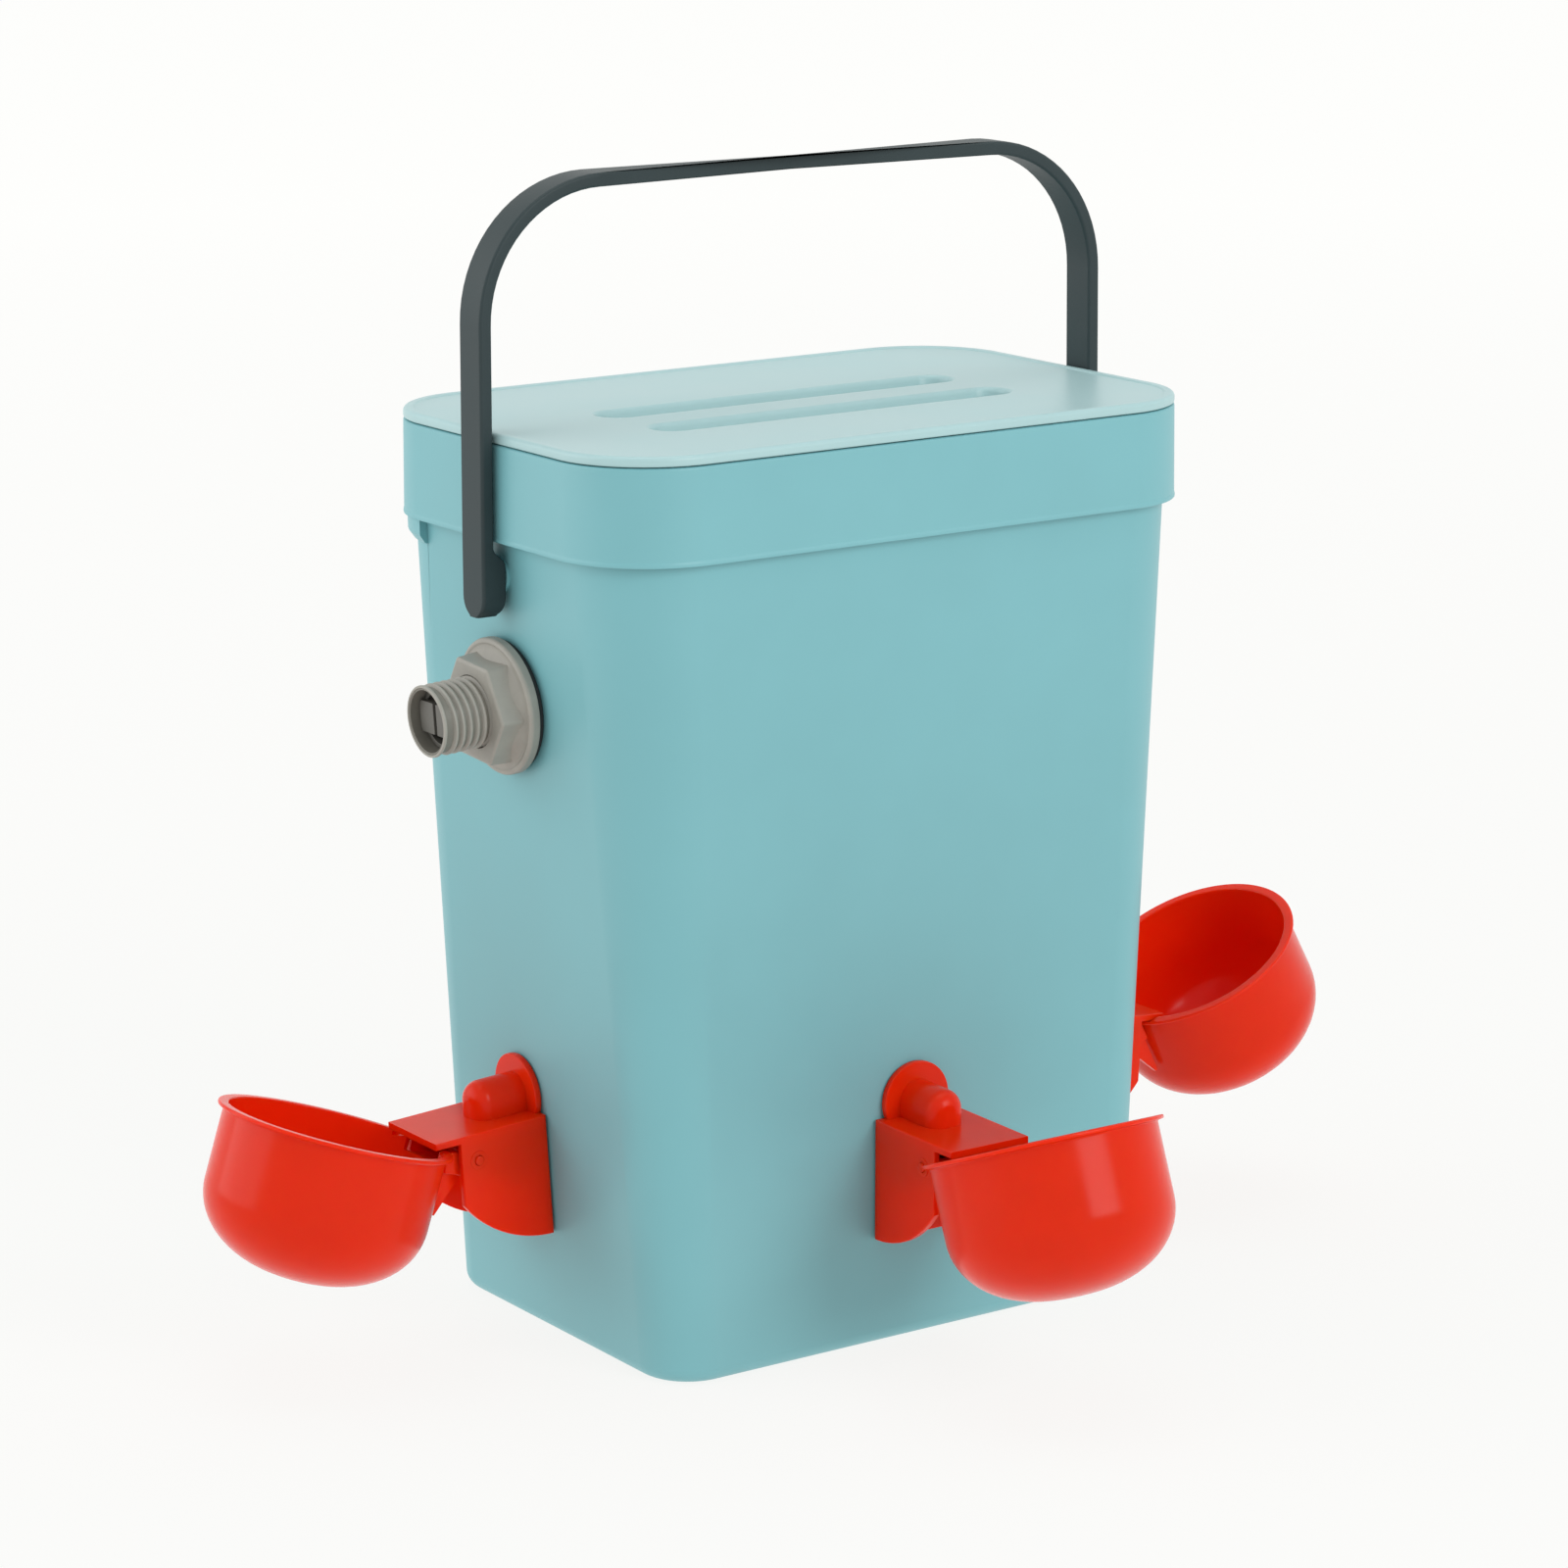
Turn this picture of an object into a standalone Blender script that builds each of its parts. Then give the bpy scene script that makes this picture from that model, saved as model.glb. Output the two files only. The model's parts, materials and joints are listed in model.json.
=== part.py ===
"""Poultry cup drinker bucket: a lidded bucket with a carrying handle, a float valve that
keeps it filled, and three tipping drinking cups on brackets near its base.

The bucket stands on Z = 0 with its centre on the origin. -Y is its front, +Y the side that
hangs against a wall, and -X the side with the water inlet.
"""

import math

import bpy
import bmesh
from mathutils import Matrix, Vector

MM = 0.001

# Clearances between pieces that touch, run in each other or come apart
SEAT_GAP = 0.3 * MM
RUNNING_GAP = 0.2 * MM
HOLE_GAP = 0.4 * MM
STOP_GAP = 0.4 * MM

# Bucket outlines: half width, half depth and corner radius
BASE_OUTLINE = (92.8 * MM, 67.7 * MM, 18.5 * MM)
TOP_OUTLINE = (109.4 * MM, 70.0 * MM, 28.8 * MM)
SEAT_HEIGHT = 290.0 * MM
WALL = 2.2 * MM
FLOOR = 2.8 * MM
BASE_EDGE = 5.0 * MM
CORNER_STEPS = 8

# Collar: the skirt that turns down from the rim
COLLAR_DROP = 30.0 * MM
COLLAR_OVERHANG = 3.7 * MM
COLLAR_FLARE = 0.3 * MM
COLLAR_WALL = 2.0 * MM
COLLAR_BEAD = 0.4 * MM
RIM_THICKNESS = 2.8 * MM

# Ledge under the collar that hooks over a wall bracket
LEDGE_DROP = 8.0 * MM
LEDGE_PROUD = 2.8 * MM

# Lid with two finger grooves
LID_THICKNESS = 3.2 * MM
LID_EDGE = 1.2 * MM
LID_BORDER = 3.2 * MM
LID_BORDER_STEP = 0.5 * MM
LID_PLUG_DEPTH = 9.0 * MM
LID_PLUG_WALL = 1.8 * MM
LID_PLUG_GAP = 0.6 * MM
GROOVE_LENGTH = 134.0 * MM
GROOVE_WIDTH = 14.0 * MM
GROOVE_DEPTH = 7.0 * MM
GROOVE_WALL = 1.8 * MM
GROOVE_DRAFT = 1.6 * MM
GRIP_RIDGE = 17.0 * MM
GRIP_FORWARD = 7.6 * MM

# Carrying handle
PIVOT_DROP = 11.0 * MM
HANDLE_RISE = 121.0 * MM
HANDLE_WIDTH = 12.6 * MM
HANDLE_THICKNESS = 4.4 * MM
HANDLE_COLLAR_GAP = 0.7 * MM
HANDLE_LEAN = 0.5 * MM
HANDLE_BEND = 44.0 * MM
HANDLE_CHAMFER = 1.1 * MM
BOOT_THICKNESS = 8.6 * MM
BOOT_ABOVE_PIVOT = 9.0 * MM
BOOT_BELOW_PIVOT = 12.5 * MM
PEG_RADIUS = 4.0 * MM
PEG_HEAD = 1.2 * MM
PIVOT_BOSS_RADIUS = 8.0 * MM

# Water inlet: a float valve through the left wall
INLET_BELOW_HANDLE = 6.9 * MM
THREAD_RADIUS = 11.3 * MM
INLET_REACH = 30.0 * MM
INLET_BORE = 9.2 * MM
INLET_FLANGE_RADIUS = 17.0 * MM
INLET_FLANGE = 3.0 * MM
OUTER_SEAL = 1.6 * MM
OUTER_SEAL_RADIUS = 20.5 * MM
NUT_FLANGE_RADIUS = 21.6 * MM
NUT_FLANGE = 3.5 * MM
NUT_SIDE = 18.4 * MM
NUT_LENGTH = 7.6 * MM
NUT_CHAMFER = 1.4 * MM
NUT_TURN = 26.0
STRAINER_DEPTH = 4.8 * MM
STRAINER_LENGTH = 7.0 * MM
STRAINER_WALL = 1.4 * MM
STRAINER_PANEL_HEIGHT = 11.6 * MM
STRAINER_SLOT = 1.5 * MM

# Float valve inside the bucket, measured inwards from the outside of the wall
CHAMBER_RADIUS = 9.5 * MM
CHAMBER_BORE = 5.7 * MM
CHAMBER_END = 31.0 * MM
ORIFICE_RADIUS = 2.2 * MM
ORIFICE_START = 9.0 * MM
ORIFICE_END = 12.0 * MM
OUTLET_SLOT = (6.0 * MM, 8.0 * MM)
FLOAT_PIN_INSET = 38.0 * MM
FLOAT_PIN_DROP = 9.0 * MM
FLOAT_PIN_RADIUS = 1.5 * MM
EAR_THICKNESS = 2.2 * MM
EAR_REACH = 5.0 * MM
ARM_WIDTH = 8.0 * MM
ARM_HEIGHT = 4.4 * MM
ARM_HUB_RADIUS = 4.0 * MM
ARM_LENGTH = 58.0 * MM
ARM_DROOP = 10.0
CAM_RADIUS = 2.5 * MM
CAM_NECK = 1.4 * MM
FLOAT_SWING = 30.0
FLOAT_RADIUS = 21.0 * MM
FLOAT_LENGTH = 50.0 * MM
FLOAT_SOCKET = 10.0 * MM
PISTON_WASHER = 2.0 * MM
PISTON_WASHER_RADIUS = 4.2 * MM
PISTON_HEAD_LENGTH = 10.0 * MM
PISTON_STEM_RADIUS = 3.4 * MM

# Drinker bracket, measured outwards from the wall and up from its stem's axis
CHEEK_GAP = 0.8 * MM
DRINKER_HEIGHT = 80.0 * MM
LEFT_DRINKER_BACK = 9.6 * MM
FRONT_DRINKER_LEFT = 1.8 * MM
RIGHT_DRINKER_FORWARD = 4.8 * MM
BRACKET_WIDTH = 30.0 * MM
BRACKET_WALL = 2.0 * MM
BRACKET_REACH = 32.2 * MM
PLATE_REACH = 34.8 * MM
PLATE_DROP = 4.6 * MM
PLATE_THICKNESS = 2.2 * MM
CHEEK_RADIUS = 39.5 * MM
CHEEK_STEPS = 7
DISC_RADIUS = 12.3 * MM
DISC_THICKNESS = 2.4 * MM
BOSS_RADIUS = 6.7 * MM
BOSS_REACH = 20.5 * MM
BOSS_NOSE = 1.6 * MM
STEM_RADIUS = 6.6 * MM
STEM_LENGTH = 15.0 * MM
STEM_BORE = 3.2 * MM
NOZZLE_REACH = 15.5 * MM
NOZZLE_RADIUS = 3.2 * MM
NOZZLE_BORE = 1.8 * MM
NOZZLE_LENGTH = 3.6 * MM
STEM_SEAL = 1.6 * MM
STEM_SEAL_RADIUS = 11.0 * MM
STEM_NUT_SIDE = 12.6 * MM
STEM_NUT_LENGTH = 6.0 * MM

# Tipping cup, measured from its hinge pin
PIN_REACH = 26.2 * MM
PIN_DROP = 13.3 * MM
PIN_RADIUS = 1.5 * MM
CUP_RADIUS = 35.5 * MM
CUP_WALL = 1.8 * MM
CUP_LIP = 2.0 * MM
CUP_LIP_HEIGHT = 2.2 * MM
CUP_DEPTH = 48.5 * MM
CUP_STRAIGHT = 24.5 * MM
CUP_SEGMENTS = 32
CUP_BOWL_STEPS = 6
CUP_PIN_GAP = 7.0 * MM
RIM_ABOVE_PIN = 0.5 * MM
CLOSED_TILT = 3.0
HANGING_TILT = 22.0
TROUGH_WIDTH = 24.0 * MM
TROUGH_WALL = 2.0 * MM
TROUGH_FLOOR = 6.0 * MM
TROUGH_TAIL_HEIGHT = 4.2 * MM
GUSSET_DROP = 14.0 * MM
PAD_RADIUS = 3.5 * MM
PAD_THICKNESS = 2.0 * MM

# Return spring round the nozzle
SPRING_RADIUS = 5.6 * MM
SPRING_WIRE = 0.45 * MM
SPRING_TURNS = 3.5
SPRING_STEPS = 10

# Where each of these follows from the sizes above
COLLAR_BOTTOM = SEAT_HEIGHT - COLLAR_DROP
PIVOT_HEIGHT = COLLAR_BOTTOM - PIVOT_DROP
INLET_HEIGHT = PIVOT_HEIGHT - BOOT_BELOW_PIVOT - INLET_BELOW_HANDLE - NUT_FLANGE_RADIUS
GROOVE_SPACING = GRIP_RIDGE + GROOVE_WIDTH
HANDLE_INNER = TOP_OUTLINE[0] + COLLAR_OVERHANG + COLLAR_BEAD + HANDLE_COLLAR_GAP
HANDLE_OUTER = HANDLE_INNER + HANDLE_THICKNESS
BOOT_INNER = HANDLE_OUTER - BOOT_THICKNESS
PLATE_UNDER = -PLATE_DROP - PLATE_THICKNESS
NOZZLE_TIP = PLATE_UNDER - NOZZLE_LENGTH
FORK_HALF = CHAMBER_BORE + HOLE_GAP
RIM_CENTRE = CUP_PIN_GAP + CUP_RADIUS + CUP_LIP
TROUGH_TAIL = PIN_REACH - NOZZLE_REACH + SPRING_RADIUS + SPRING_WIRE + 2 * SEAT_GAP + TROUGH_WALL

# Drinkers: the direction of the wall, the shift along it, and whether the empty cup hangs
# on its spring or lies against its stop
DRINKERS = (
    ("left", 180, -LEFT_DRINKER_BACK, "hanging"),
    ("front", 270, -FRONT_DRINKER_LEFT, "hanging"),
    ("right", 0, -RIGHT_DRINKER_FORWARD, "stopped"),
)


def wall_outline(height, offset=0.0):
    """Half width, half depth and corner radius of the wall: tapered, and upright inside the collar."""
    share = min(height / COLLAR_BOTTOM, 1.0)
    return tuple(base + (top - base) * share + offset for base, top in zip(BASE_OUTLINE, TOP_OUTLINE))


def collar_outline(height, offset=0.0):
    """The collar's outside, which flares a little towards its lower edge."""
    flare = COLLAR_FLARE * (height - COLLAR_BOTTOM) / COLLAR_DROP
    return tuple(size + COLLAR_OVERHANG - flare + offset for size in TOP_OUTLINE)


def inner_wall_outline(height, offset=0.0):
    """The inside of the wall."""
    return wall_outline(height, offset - WALL)


def wall_lean(side):
    """How far a side wall leans out, in radians: side 0 is the width, side 1 the depth."""
    return math.atan2(TOP_OUTLINE[side] - BASE_OUTLINE[side], COLLAR_BOTTOM)


def rounded_rectangle(outline, height):
    """Points of a rounded rectangle at a height, anticlockwise from its +X side."""
    half_x, half_y, corner = outline
    points = []
    for quarter, (side_x, side_y) in enumerate(((1, 1), (-1, 1), (-1, -1), (1, -1))):
        for step in range(CORNER_STEPS + 1):
            angle = math.radians(90) * (quarter + step / CORNER_STEPS)
            x = side_x * (half_x - corner) + corner * math.cos(angle)
            y = side_y * (half_y - corner) + corner * math.sin(angle)
            points.append(Vector((x, y, height)))
    return points


def finished_mesh(bm, name):
    """Turn a bmesh into a mesh with its faces pointing out and its round faces smooth."""
    bmesh.ops.remove_doubles(bm, verts=bm.verts, dist=0.001 * MM)
    bmesh.ops.recalc_face_normals(bm, faces=bm.faces)
    mesh = bpy.data.meshes.new(name)
    bm.to_mesh(mesh)
    bm.free()
    mesh.shade_smooth()
    mesh.set_sharp_from_angle(angle=math.radians(32))
    return mesh


def loft(rings, name, ends=True):
    """Skin a row of rings of points, and cap the first and last ring."""
    bm = bmesh.new()
    rows = [[bm.verts.new(point) for point in ring] for ring in rings]
    for row, following in zip(rows, rows[1:]):
        for i in range(len(row)):
            j = (i + 1) % len(row)
            bm.faces.new((row[i], row[j], following[j], following[i]))
    if ends:
        bm.faces.new(rows[0])
        bm.faces.new(rows[-1])
    return finished_mesh(bm, name)


def turned(profile, name, segments=28, start=Matrix()):
    """Revolve (radius, height) points about local Z; a profile off the axis is a closed loop."""
    bm = bmesh.new()
    verts = [bm.verts.new((radius, 0, height)) for radius, height in profile]
    pairs = list(zip(verts, verts[1:]))
    if profile[0][0] > 0:
        pairs.append((verts[-1], verts[0]))
    edges = [bm.edges.new(pair) for pair in pairs]
    bmesh.ops.spin(bm, geom=verts + edges, cent=(0, 0, 0), axis=(0, 0, 1),
                   angle=math.tau, steps=segments, use_merge=True, use_duplicate=False)
    bmesh.ops.remove_doubles(bm, verts=bm.verts, dist=0.001 * MM)
    poles = [vert for vert in bm.verts if vert.co.xy.length < 0.001 * MM]
    flat = [pole for pole in poles if all(abs(edge.other_vert(pole).co.z - pole.co.z) < 0.001 * MM
                                          for edge in pole.link_edges)]
    bmesh.ops.dissolve_verts(bm, verts=flat)
    bmesh.ops.transform(bm, matrix=start, verts=bm.verts)
    return finished_mesh(bm, name)


def prism(outline, low, high, name, place=Matrix(), bevel=0.0):
    """Extrude (x, z) points along Y from low to high, with an optional bevel on the rims."""
    bm = bmesh.new()
    face = bm.faces.new([bm.verts.new((x, low, z)) for x, z in outline])
    sides = bmesh.ops.extrude_face_region(bm, geom=[face])["geom"]
    moved = [item for item in sides if isinstance(item, bmesh.types.BMVert)]
    bmesh.ops.translate(bm, verts=moved, vec=(0, high - low, 0))
    if bevel:
        rims = [edge for edge in bm.edges if abs(edge.verts[0].co.y - edge.verts[1].co.y) < 0.01 * MM]
        bmesh.ops.bevel(bm, geom=rims, offset=bevel, segments=2, profile=0.5, affect="EDGES",
                        material=-1)
    bmesh.ops.transform(bm, matrix=place, verts=bm.verts)
    return finished_mesh(bm, name)


def box(low, high, name, place=Matrix()):
    """A box between two corners."""
    bm = bmesh.new()
    bmesh.ops.create_cube(bm, size=1)
    size = Vector(high) - Vector(low)
    middle = (Vector(high) + Vector(low)) / 2
    bmesh.ops.transform(bm, matrix=place @ Matrix.Translation(middle) @ Matrix.Diagonal((*size, 1)),
                        verts=bm.verts)
    return finished_mesh(bm, name)


def rod(radius, low, high, name, place=Matrix(), segments=20):
    """A cylinder along local Z."""
    return turned([(0, low), (radius, low), (radius, high), (0, high)], name, segments, place)


def arc(centre_x, centre_z, radius, first, last, steps):
    """Points on an arc, in degrees, first to last."""
    points = []
    for step in range(steps + 1):
        angle = math.radians(first + (last - first) * step / steps)
        points.append((centre_x + radius * math.cos(angle), centre_z + radius * math.sin(angle)))
    return points


ALONG_X = Matrix.Rotation(math.radians(90), 4, "Y")
ALONG_Y = Matrix.Rotation(math.radians(-90), 4, "X")


def at(x, y, z):
    """A shift."""
    return Matrix.Translation((x, y, z))


def carved(solid, added=(), removed=()):
    """Join and cut meshes that share a frame, and return the finished mesh."""
    scene = bpy.context.scene
    target = bpy.data.objects.new(solid.name, solid)
    scene.collection.objects.link(target)
    tools = []
    for operation, meshes in (("UNION", added), ("DIFFERENCE", removed)):
        for mesh in meshes:
            tool = bpy.data.objects.new(mesh.name, mesh)
            scene.collection.objects.link(tool)
            modifier = target.modifiers.new(mesh.name, "BOOLEAN")
            modifier.operation = operation
            modifier.solver = "EXACT"
            modifier.object = tool
            tools.append(tool)
    evaluated = target.evaluated_get(bpy.context.evaluated_depsgraph_get())
    mesh = bpy.data.meshes.new_from_object(evaluated)
    mesh.name = solid.name
    for item in tools + [target]:
        bpy.data.objects.remove(item)
    mesh.shade_smooth()
    mesh.set_sharp_from_angle(angle=math.radians(32))
    return mesh


def material(name, colour, roughness, metallic=0.0):
    """A Principled material from an sRGB hex colour."""
    channels = [int(colour[i:i + 2], 16) / 255 for i in (0, 2, 4)]
    linear = [c / 12.92 if c <= 0.04045 else ((c + 0.055) / 1.055) ** 2.4 for c in channels]
    result = bpy.data.materials.new(name)
    result.use_nodes = True
    shader = result.node_tree.nodes["Principled BSDF"]
    shader.inputs["Base Color"].default_value = (*linear, 1)
    shader.inputs["Roughness"].default_value = roughness
    shader.inputs["Metallic"].default_value = metallic
    return result


def place(name, mesh, finish, parent=None, matrix=Matrix()):
    """Put a sub-part in the scene; its origin is the frame that its mesh was made in."""
    obj = bpy.data.objects.new(name, mesh)
    bpy.context.scene.collection.objects.link(obj)
    if not mesh.materials:
        mesh.materials.append(finish)
    obj.parent = parent
    obj.matrix_local = matrix
    return obj


def frame_empty(name, matrix, parent=None):
    """An empty that carries the pieces of one mechanism."""
    empty = bpy.data.objects.new(name, None)
    bpy.context.scene.collection.objects.link(empty)
    empty.parent = parent
    empty.matrix_local = matrix
    return empty


def wall_frame(azimuth, height, across=0.0):
    """Frame on the outside of a wall: local X points straight out of it, local Z up along it."""
    side = 1 if azimuth == 270 else 0
    lean = wall_lean(side)
    distance = wall_outline(height)[side]
    turn = Matrix.Rotation(math.radians(azimuth), 4, "Z")
    return turn @ at(distance, across, height) @ Matrix.Rotation(lean, 4, "Y")


def wall_thickness(side):
    """The wall's thickness measured square to its leaning face."""
    return WALL * math.cos(wall_lean(side))


# Bucket body

def bucket_shell():
    """The moulded bucket: base, tapered wall, rim and the collar that turns down from it."""
    rings = []
    edge_steps = 4
    for step in range(edge_steps + 1):
        angle = math.radians(90) * step / edge_steps
        inset = BASE_EDGE * (1 - math.sin(angle))
        height = BASE_EDGE * (1 - math.cos(angle))
        rings.append(rounded_rectangle(wall_outline(height, -inset), height))
    web = SEAT_HEIGHT - RIM_THICKNESS
    rings.append(rounded_rectangle(wall_outline(COLLAR_BOTTOM), COLLAR_BOTTOM))
    rings.append(rounded_rectangle(wall_outline(web), web))
    rings.append(rounded_rectangle(collar_outline(web, -COLLAR_WALL), web))
    rings.append(rounded_rectangle(collar_outline(COLLAR_BOTTOM, -COLLAR_WALL), COLLAR_BOTTOM))
    round_off = 0.8 * MM
    bead_top = COLLAR_BOTTOM + 4 * COLLAR_BEAD
    rings.append(rounded_rectangle(collar_outline(COLLAR_BOTTOM, COLLAR_BEAD - round_off), COLLAR_BOTTOM))
    rings.append(rounded_rectangle(collar_outline(COLLAR_BOTTOM, COLLAR_BEAD), COLLAR_BOTTOM + round_off))
    rings.append(rounded_rectangle(collar_outline(bead_top, COLLAR_BEAD), bead_top))
    rings.append(rounded_rectangle(collar_outline(bead_top), bead_top + COLLAR_BEAD))
    rings.append(rounded_rectangle(collar_outline(SEAT_HEIGHT), SEAT_HEIGHT - round_off))
    rings.append(rounded_rectangle(collar_outline(SEAT_HEIGHT, -round_off), SEAT_HEIGHT))
    rings.append(rounded_rectangle(inner_wall_outline(SEAT_HEIGHT, round_off), SEAT_HEIGHT))
    rings.append(rounded_rectangle(inner_wall_outline(SEAT_HEIGHT), SEAT_HEIGHT - round_off))
    rings.append(rounded_rectangle(inner_wall_outline(COLLAR_BOTTOM), COLLAR_BOTTOM))
    inner_edge = BASE_EDGE - WALL / 2
    for step in range(edge_steps + 1):
        angle = math.radians(90) * step / edge_steps
        inset = inner_edge * (1 - math.cos(angle))
        height = FLOOR + inner_edge * (1 - math.sin(angle))
        rings.append(rounded_rectangle(inner_wall_outline(height, -inset), height))
    return loft(rings, "bucket_body")


def hanging_ledge():
    """Band round the back of the wall under the collar, which hooks over a wall bracket."""
    low = COLLAR_BOTTOM - LEDGE_DROP
    high = COLLAR_BOTTOM + LEDGE_DROP
    sunk = -WALL / 2
    section = ((sunk, high), (LEDGE_PROUD, high), (LEDGE_PROUD, low + LEDGE_PROUD), (LEDGE_PROUD / 3, low),
               (sunk, low))
    rings = []
    for side, quarter in ((1, 0), (-1, 1)):
        for step in range(CORNER_STEPS):
            angle = math.radians(90) * (quarter + (step + 0.5) / CORNER_STEPS)
            ring = []
            for offset, height in section:
                half_x, half_y, corner = wall_outline(height, offset)
                ring.append(Vector((side * (half_x - corner) + corner * math.cos(angle),
                                    half_y - corner + corner * math.sin(angle), height)))
            rings.append(ring)
    return loft(rings, "hanging_ledge")


def pivot_boss(side):
    """Round boss on a side wall that the handle's peg turns in."""
    wall = wall_outline(PIVOT_HEIGHT)[0]
    return rod(PIVOT_BOSS_RADIUS, wall - WALL / 2, BOOT_INNER - SEAT_GAP, "pivot_boss",
               at(0, 0, PIVOT_HEIGHT) @ Matrix.Scale(side, 4, (1, 0, 0)) @ ALONG_X)


def bucket_holes():
    """Bores for the handle's pegs, the inlet and the three drinker stems."""
    holes = []
    for side in (-1, 1):
        wall = wall_outline(PIVOT_HEIGHT)[0]
        holes.append(rod(PEG_RADIUS + HOLE_GAP, wall - 6 * WALL, BOOT_INNER + WALL, "peg_bore",
                         at(0, 0, PIVOT_HEIGHT) @ Matrix.Scale(side, 4, (1, 0, 0)) @ ALONG_X))
    through = 4 * WALL
    holes.append(rod(THREAD_RADIUS + HOLE_GAP, -through, through, "inlet_bore",
                     wall_frame(180, INLET_HEIGHT) @ ALONG_X, 32))
    for name, azimuth, across, rest in DRINKERS:
        holes.append(rod(STEM_RADIUS + HOLE_GAP, -through, through, "stem_bore",
                         wall_frame(azimuth, DRINKER_HEIGHT, across) @ ALONG_X))
    return holes


def bucket_body():
    return carved(bucket_shell(), (hanging_ledge(), pivot_boss(-1), pivot_boss(1)), bucket_holes())


# Lid

def lid_shell():
    """Lid plate with a raised border, and a plug below it that fits the mouth."""
    outer = collar_outline(SEAT_HEIGHT)
    plug = inner_wall_outline(SEAT_HEIGHT, -LID_PLUG_GAP)
    inner = inner_wall_outline(SEAT_HEIGHT, -LID_PLUG_GAP - LID_PLUG_WALL)

    def grown(outline, offset):
        return tuple(size + offset for size in outline)

    rings = [rounded_rectangle(inner, 0.0),
             rounded_rectangle(inner, -LID_PLUG_DEPTH),
             rounded_rectangle(grown(plug, -LID_PLUG_GAP), -LID_PLUG_DEPTH),
             rounded_rectangle(plug, -LID_PLUG_DEPTH + 2 * LID_PLUG_GAP),
             rounded_rectangle(plug, 0.0),
             rounded_rectangle(grown(outer, -LID_EDGE / 2), 0.0),
             rounded_rectangle(outer, LID_EDGE / 2)]
    edge_steps = 3
    for step in range(edge_steps + 1):
        angle = math.radians(90) * step / edge_steps
        inset = LID_EDGE * (1 - math.cos(angle))
        rings.append(rounded_rectangle(grown(outer, -inset), LID_THICKNESS - LID_EDGE * (1 - math.sin(angle))))
    rings.append(rounded_rectangle(grown(outer, -LID_BORDER), LID_THICKNESS))
    rings.append(rounded_rectangle(grown(outer, -LID_BORDER - LID_BORDER_STEP), LID_THICKNESS - LID_BORDER_STEP))
    return loft(rings, "lid")


def groove(middle_y, grow, top, bottom, name):
    """Long pocket with round ends and sloping sides."""
    rings = []
    for height, inset in ((top, 0.0), (bottom, GROOVE_DRAFT)):
        half_y = GROOVE_WIDTH / 2 + grow - inset
        outline = (GROOVE_LENGTH / 2 + grow - inset, half_y, half_y - 0.1 * MM)
        rings.append([point + Vector((0, middle_y, 0)) for point in rounded_rectangle(outline, height)])
    return loft(rings, name)


def lid():
    middles = [side * GROOVE_SPACING / 2 - GRIP_FORWARD for side in (-1, 1)]
    floor = LID_THICKNESS - LID_BORDER_STEP - GROOVE_DEPTH
    troughs = [groove(y, GROOVE_WALL, LID_THICKNESS / 2, floor - GROOVE_WALL, "groove_wall") for y in middles]
    pockets = [groove(y, 0.0, LID_THICKNESS, floor, "groove") for y in middles]
    return carved(lid_shell(), troughs, pockets)


# Handle

def leg_stations():
    """Stations up a leg: x and z on the outer face, half width, thickness, and the strap's angle."""
    half = HANDLE_WIDTH / 2
    low = half - BOOT_BELOW_PIVOT
    stations = []
    for step in range(1, 6):
        angle = math.radians(90) * step / 5
        width = half * max(math.sin(angle), 0.45)
        stations.append((HANDLE_OUTER, low - half * math.cos(angle), width, BOOT_THICKNESS, 0.0))
    stations[0] = (HANDLE_OUTER - HANDLE_CHAMFER, *stations[0][1:3], BOOT_THICKNESS - 2 * HANDLE_CHAMFER, 0.0)
    stations.append((HANDLE_OUTER, BOOT_ABOVE_PIVOT - HANDLE_CHAMFER, half, BOOT_THICKNESS, 0.0))
    stations.append((HANDLE_OUTER, BOOT_ABOVE_PIVOT, half, HANDLE_THICKNESS, 0.0))
    top = HANDLE_RISE - HANDLE_BEND
    bend_x = HANDLE_OUTER - HANDLE_LEAN - HANDLE_BEND
    steps = 9
    for step in range(steps + 1):
        angle = math.radians(90) * step / steps
        stations.append((bend_x + HANDLE_BEND * math.cos(angle), top + HANDLE_BEND * math.sin(angle), half,
                         HANDLE_THICKNESS, angle))
    return stations


def strap():
    """Both legs and the bar of the handle, swept with a chamfered section."""
    rings = []
    leg = leg_stations()
    for side, stations in ((-1, leg), (1, leg[::-1])):
        for x, z, half, thick, angle in stations:
            cut = HANDLE_CHAMFER
            section = ((half - cut, 0), (half, cut), (half, thick - cut), (half - cut, thick),
                       (cut - half, thick), (-half, thick - cut), (-half, cut), (cut - half, 0))
            inward = Vector((-side * math.cos(angle), 0, -math.sin(angle)))
            rings.append([Vector((side * x, y, z)) + inward * depth for y, depth in section])
    return loft(rings, "handle")


def peg(side):
    """Peg that turns in the wall's boss, with a snap head behind the wall."""
    reach = BOOT_ABOVE_PIVOT - PEG_RADIUS
    wall_inside = wall_outline(PIVOT_HEIGHT)[0] - WALL
    lean_room = (PEG_RADIUS + HOLE_GAP + PEG_HEAD) * math.tan(wall_lean(0))
    head = wall_inside - lean_room - SEAT_GAP
    profile = [(0, BOOT_INNER + reach / 4), (PEG_RADIUS, BOOT_INNER + reach / 4), (PEG_RADIUS, head),
               (PEG_RADIUS + HOLE_GAP + PEG_HEAD, head), (PEG_RADIUS + HOLE_GAP + PEG_HEAD, head - PEG_HEAD),
               (PEG_RADIUS - PEG_HEAD, head - 3 * PEG_HEAD), (0, head - 3 * PEG_HEAD)]
    return turned(profile, "handle_peg", 20, Matrix.Scale(side, 4, (1, 0, 0)) @ ALONG_X)


def handle():
    return carved(strap(), (peg(-1), peg(1)))


# Float valve, in the inlet's wall frame

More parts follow.
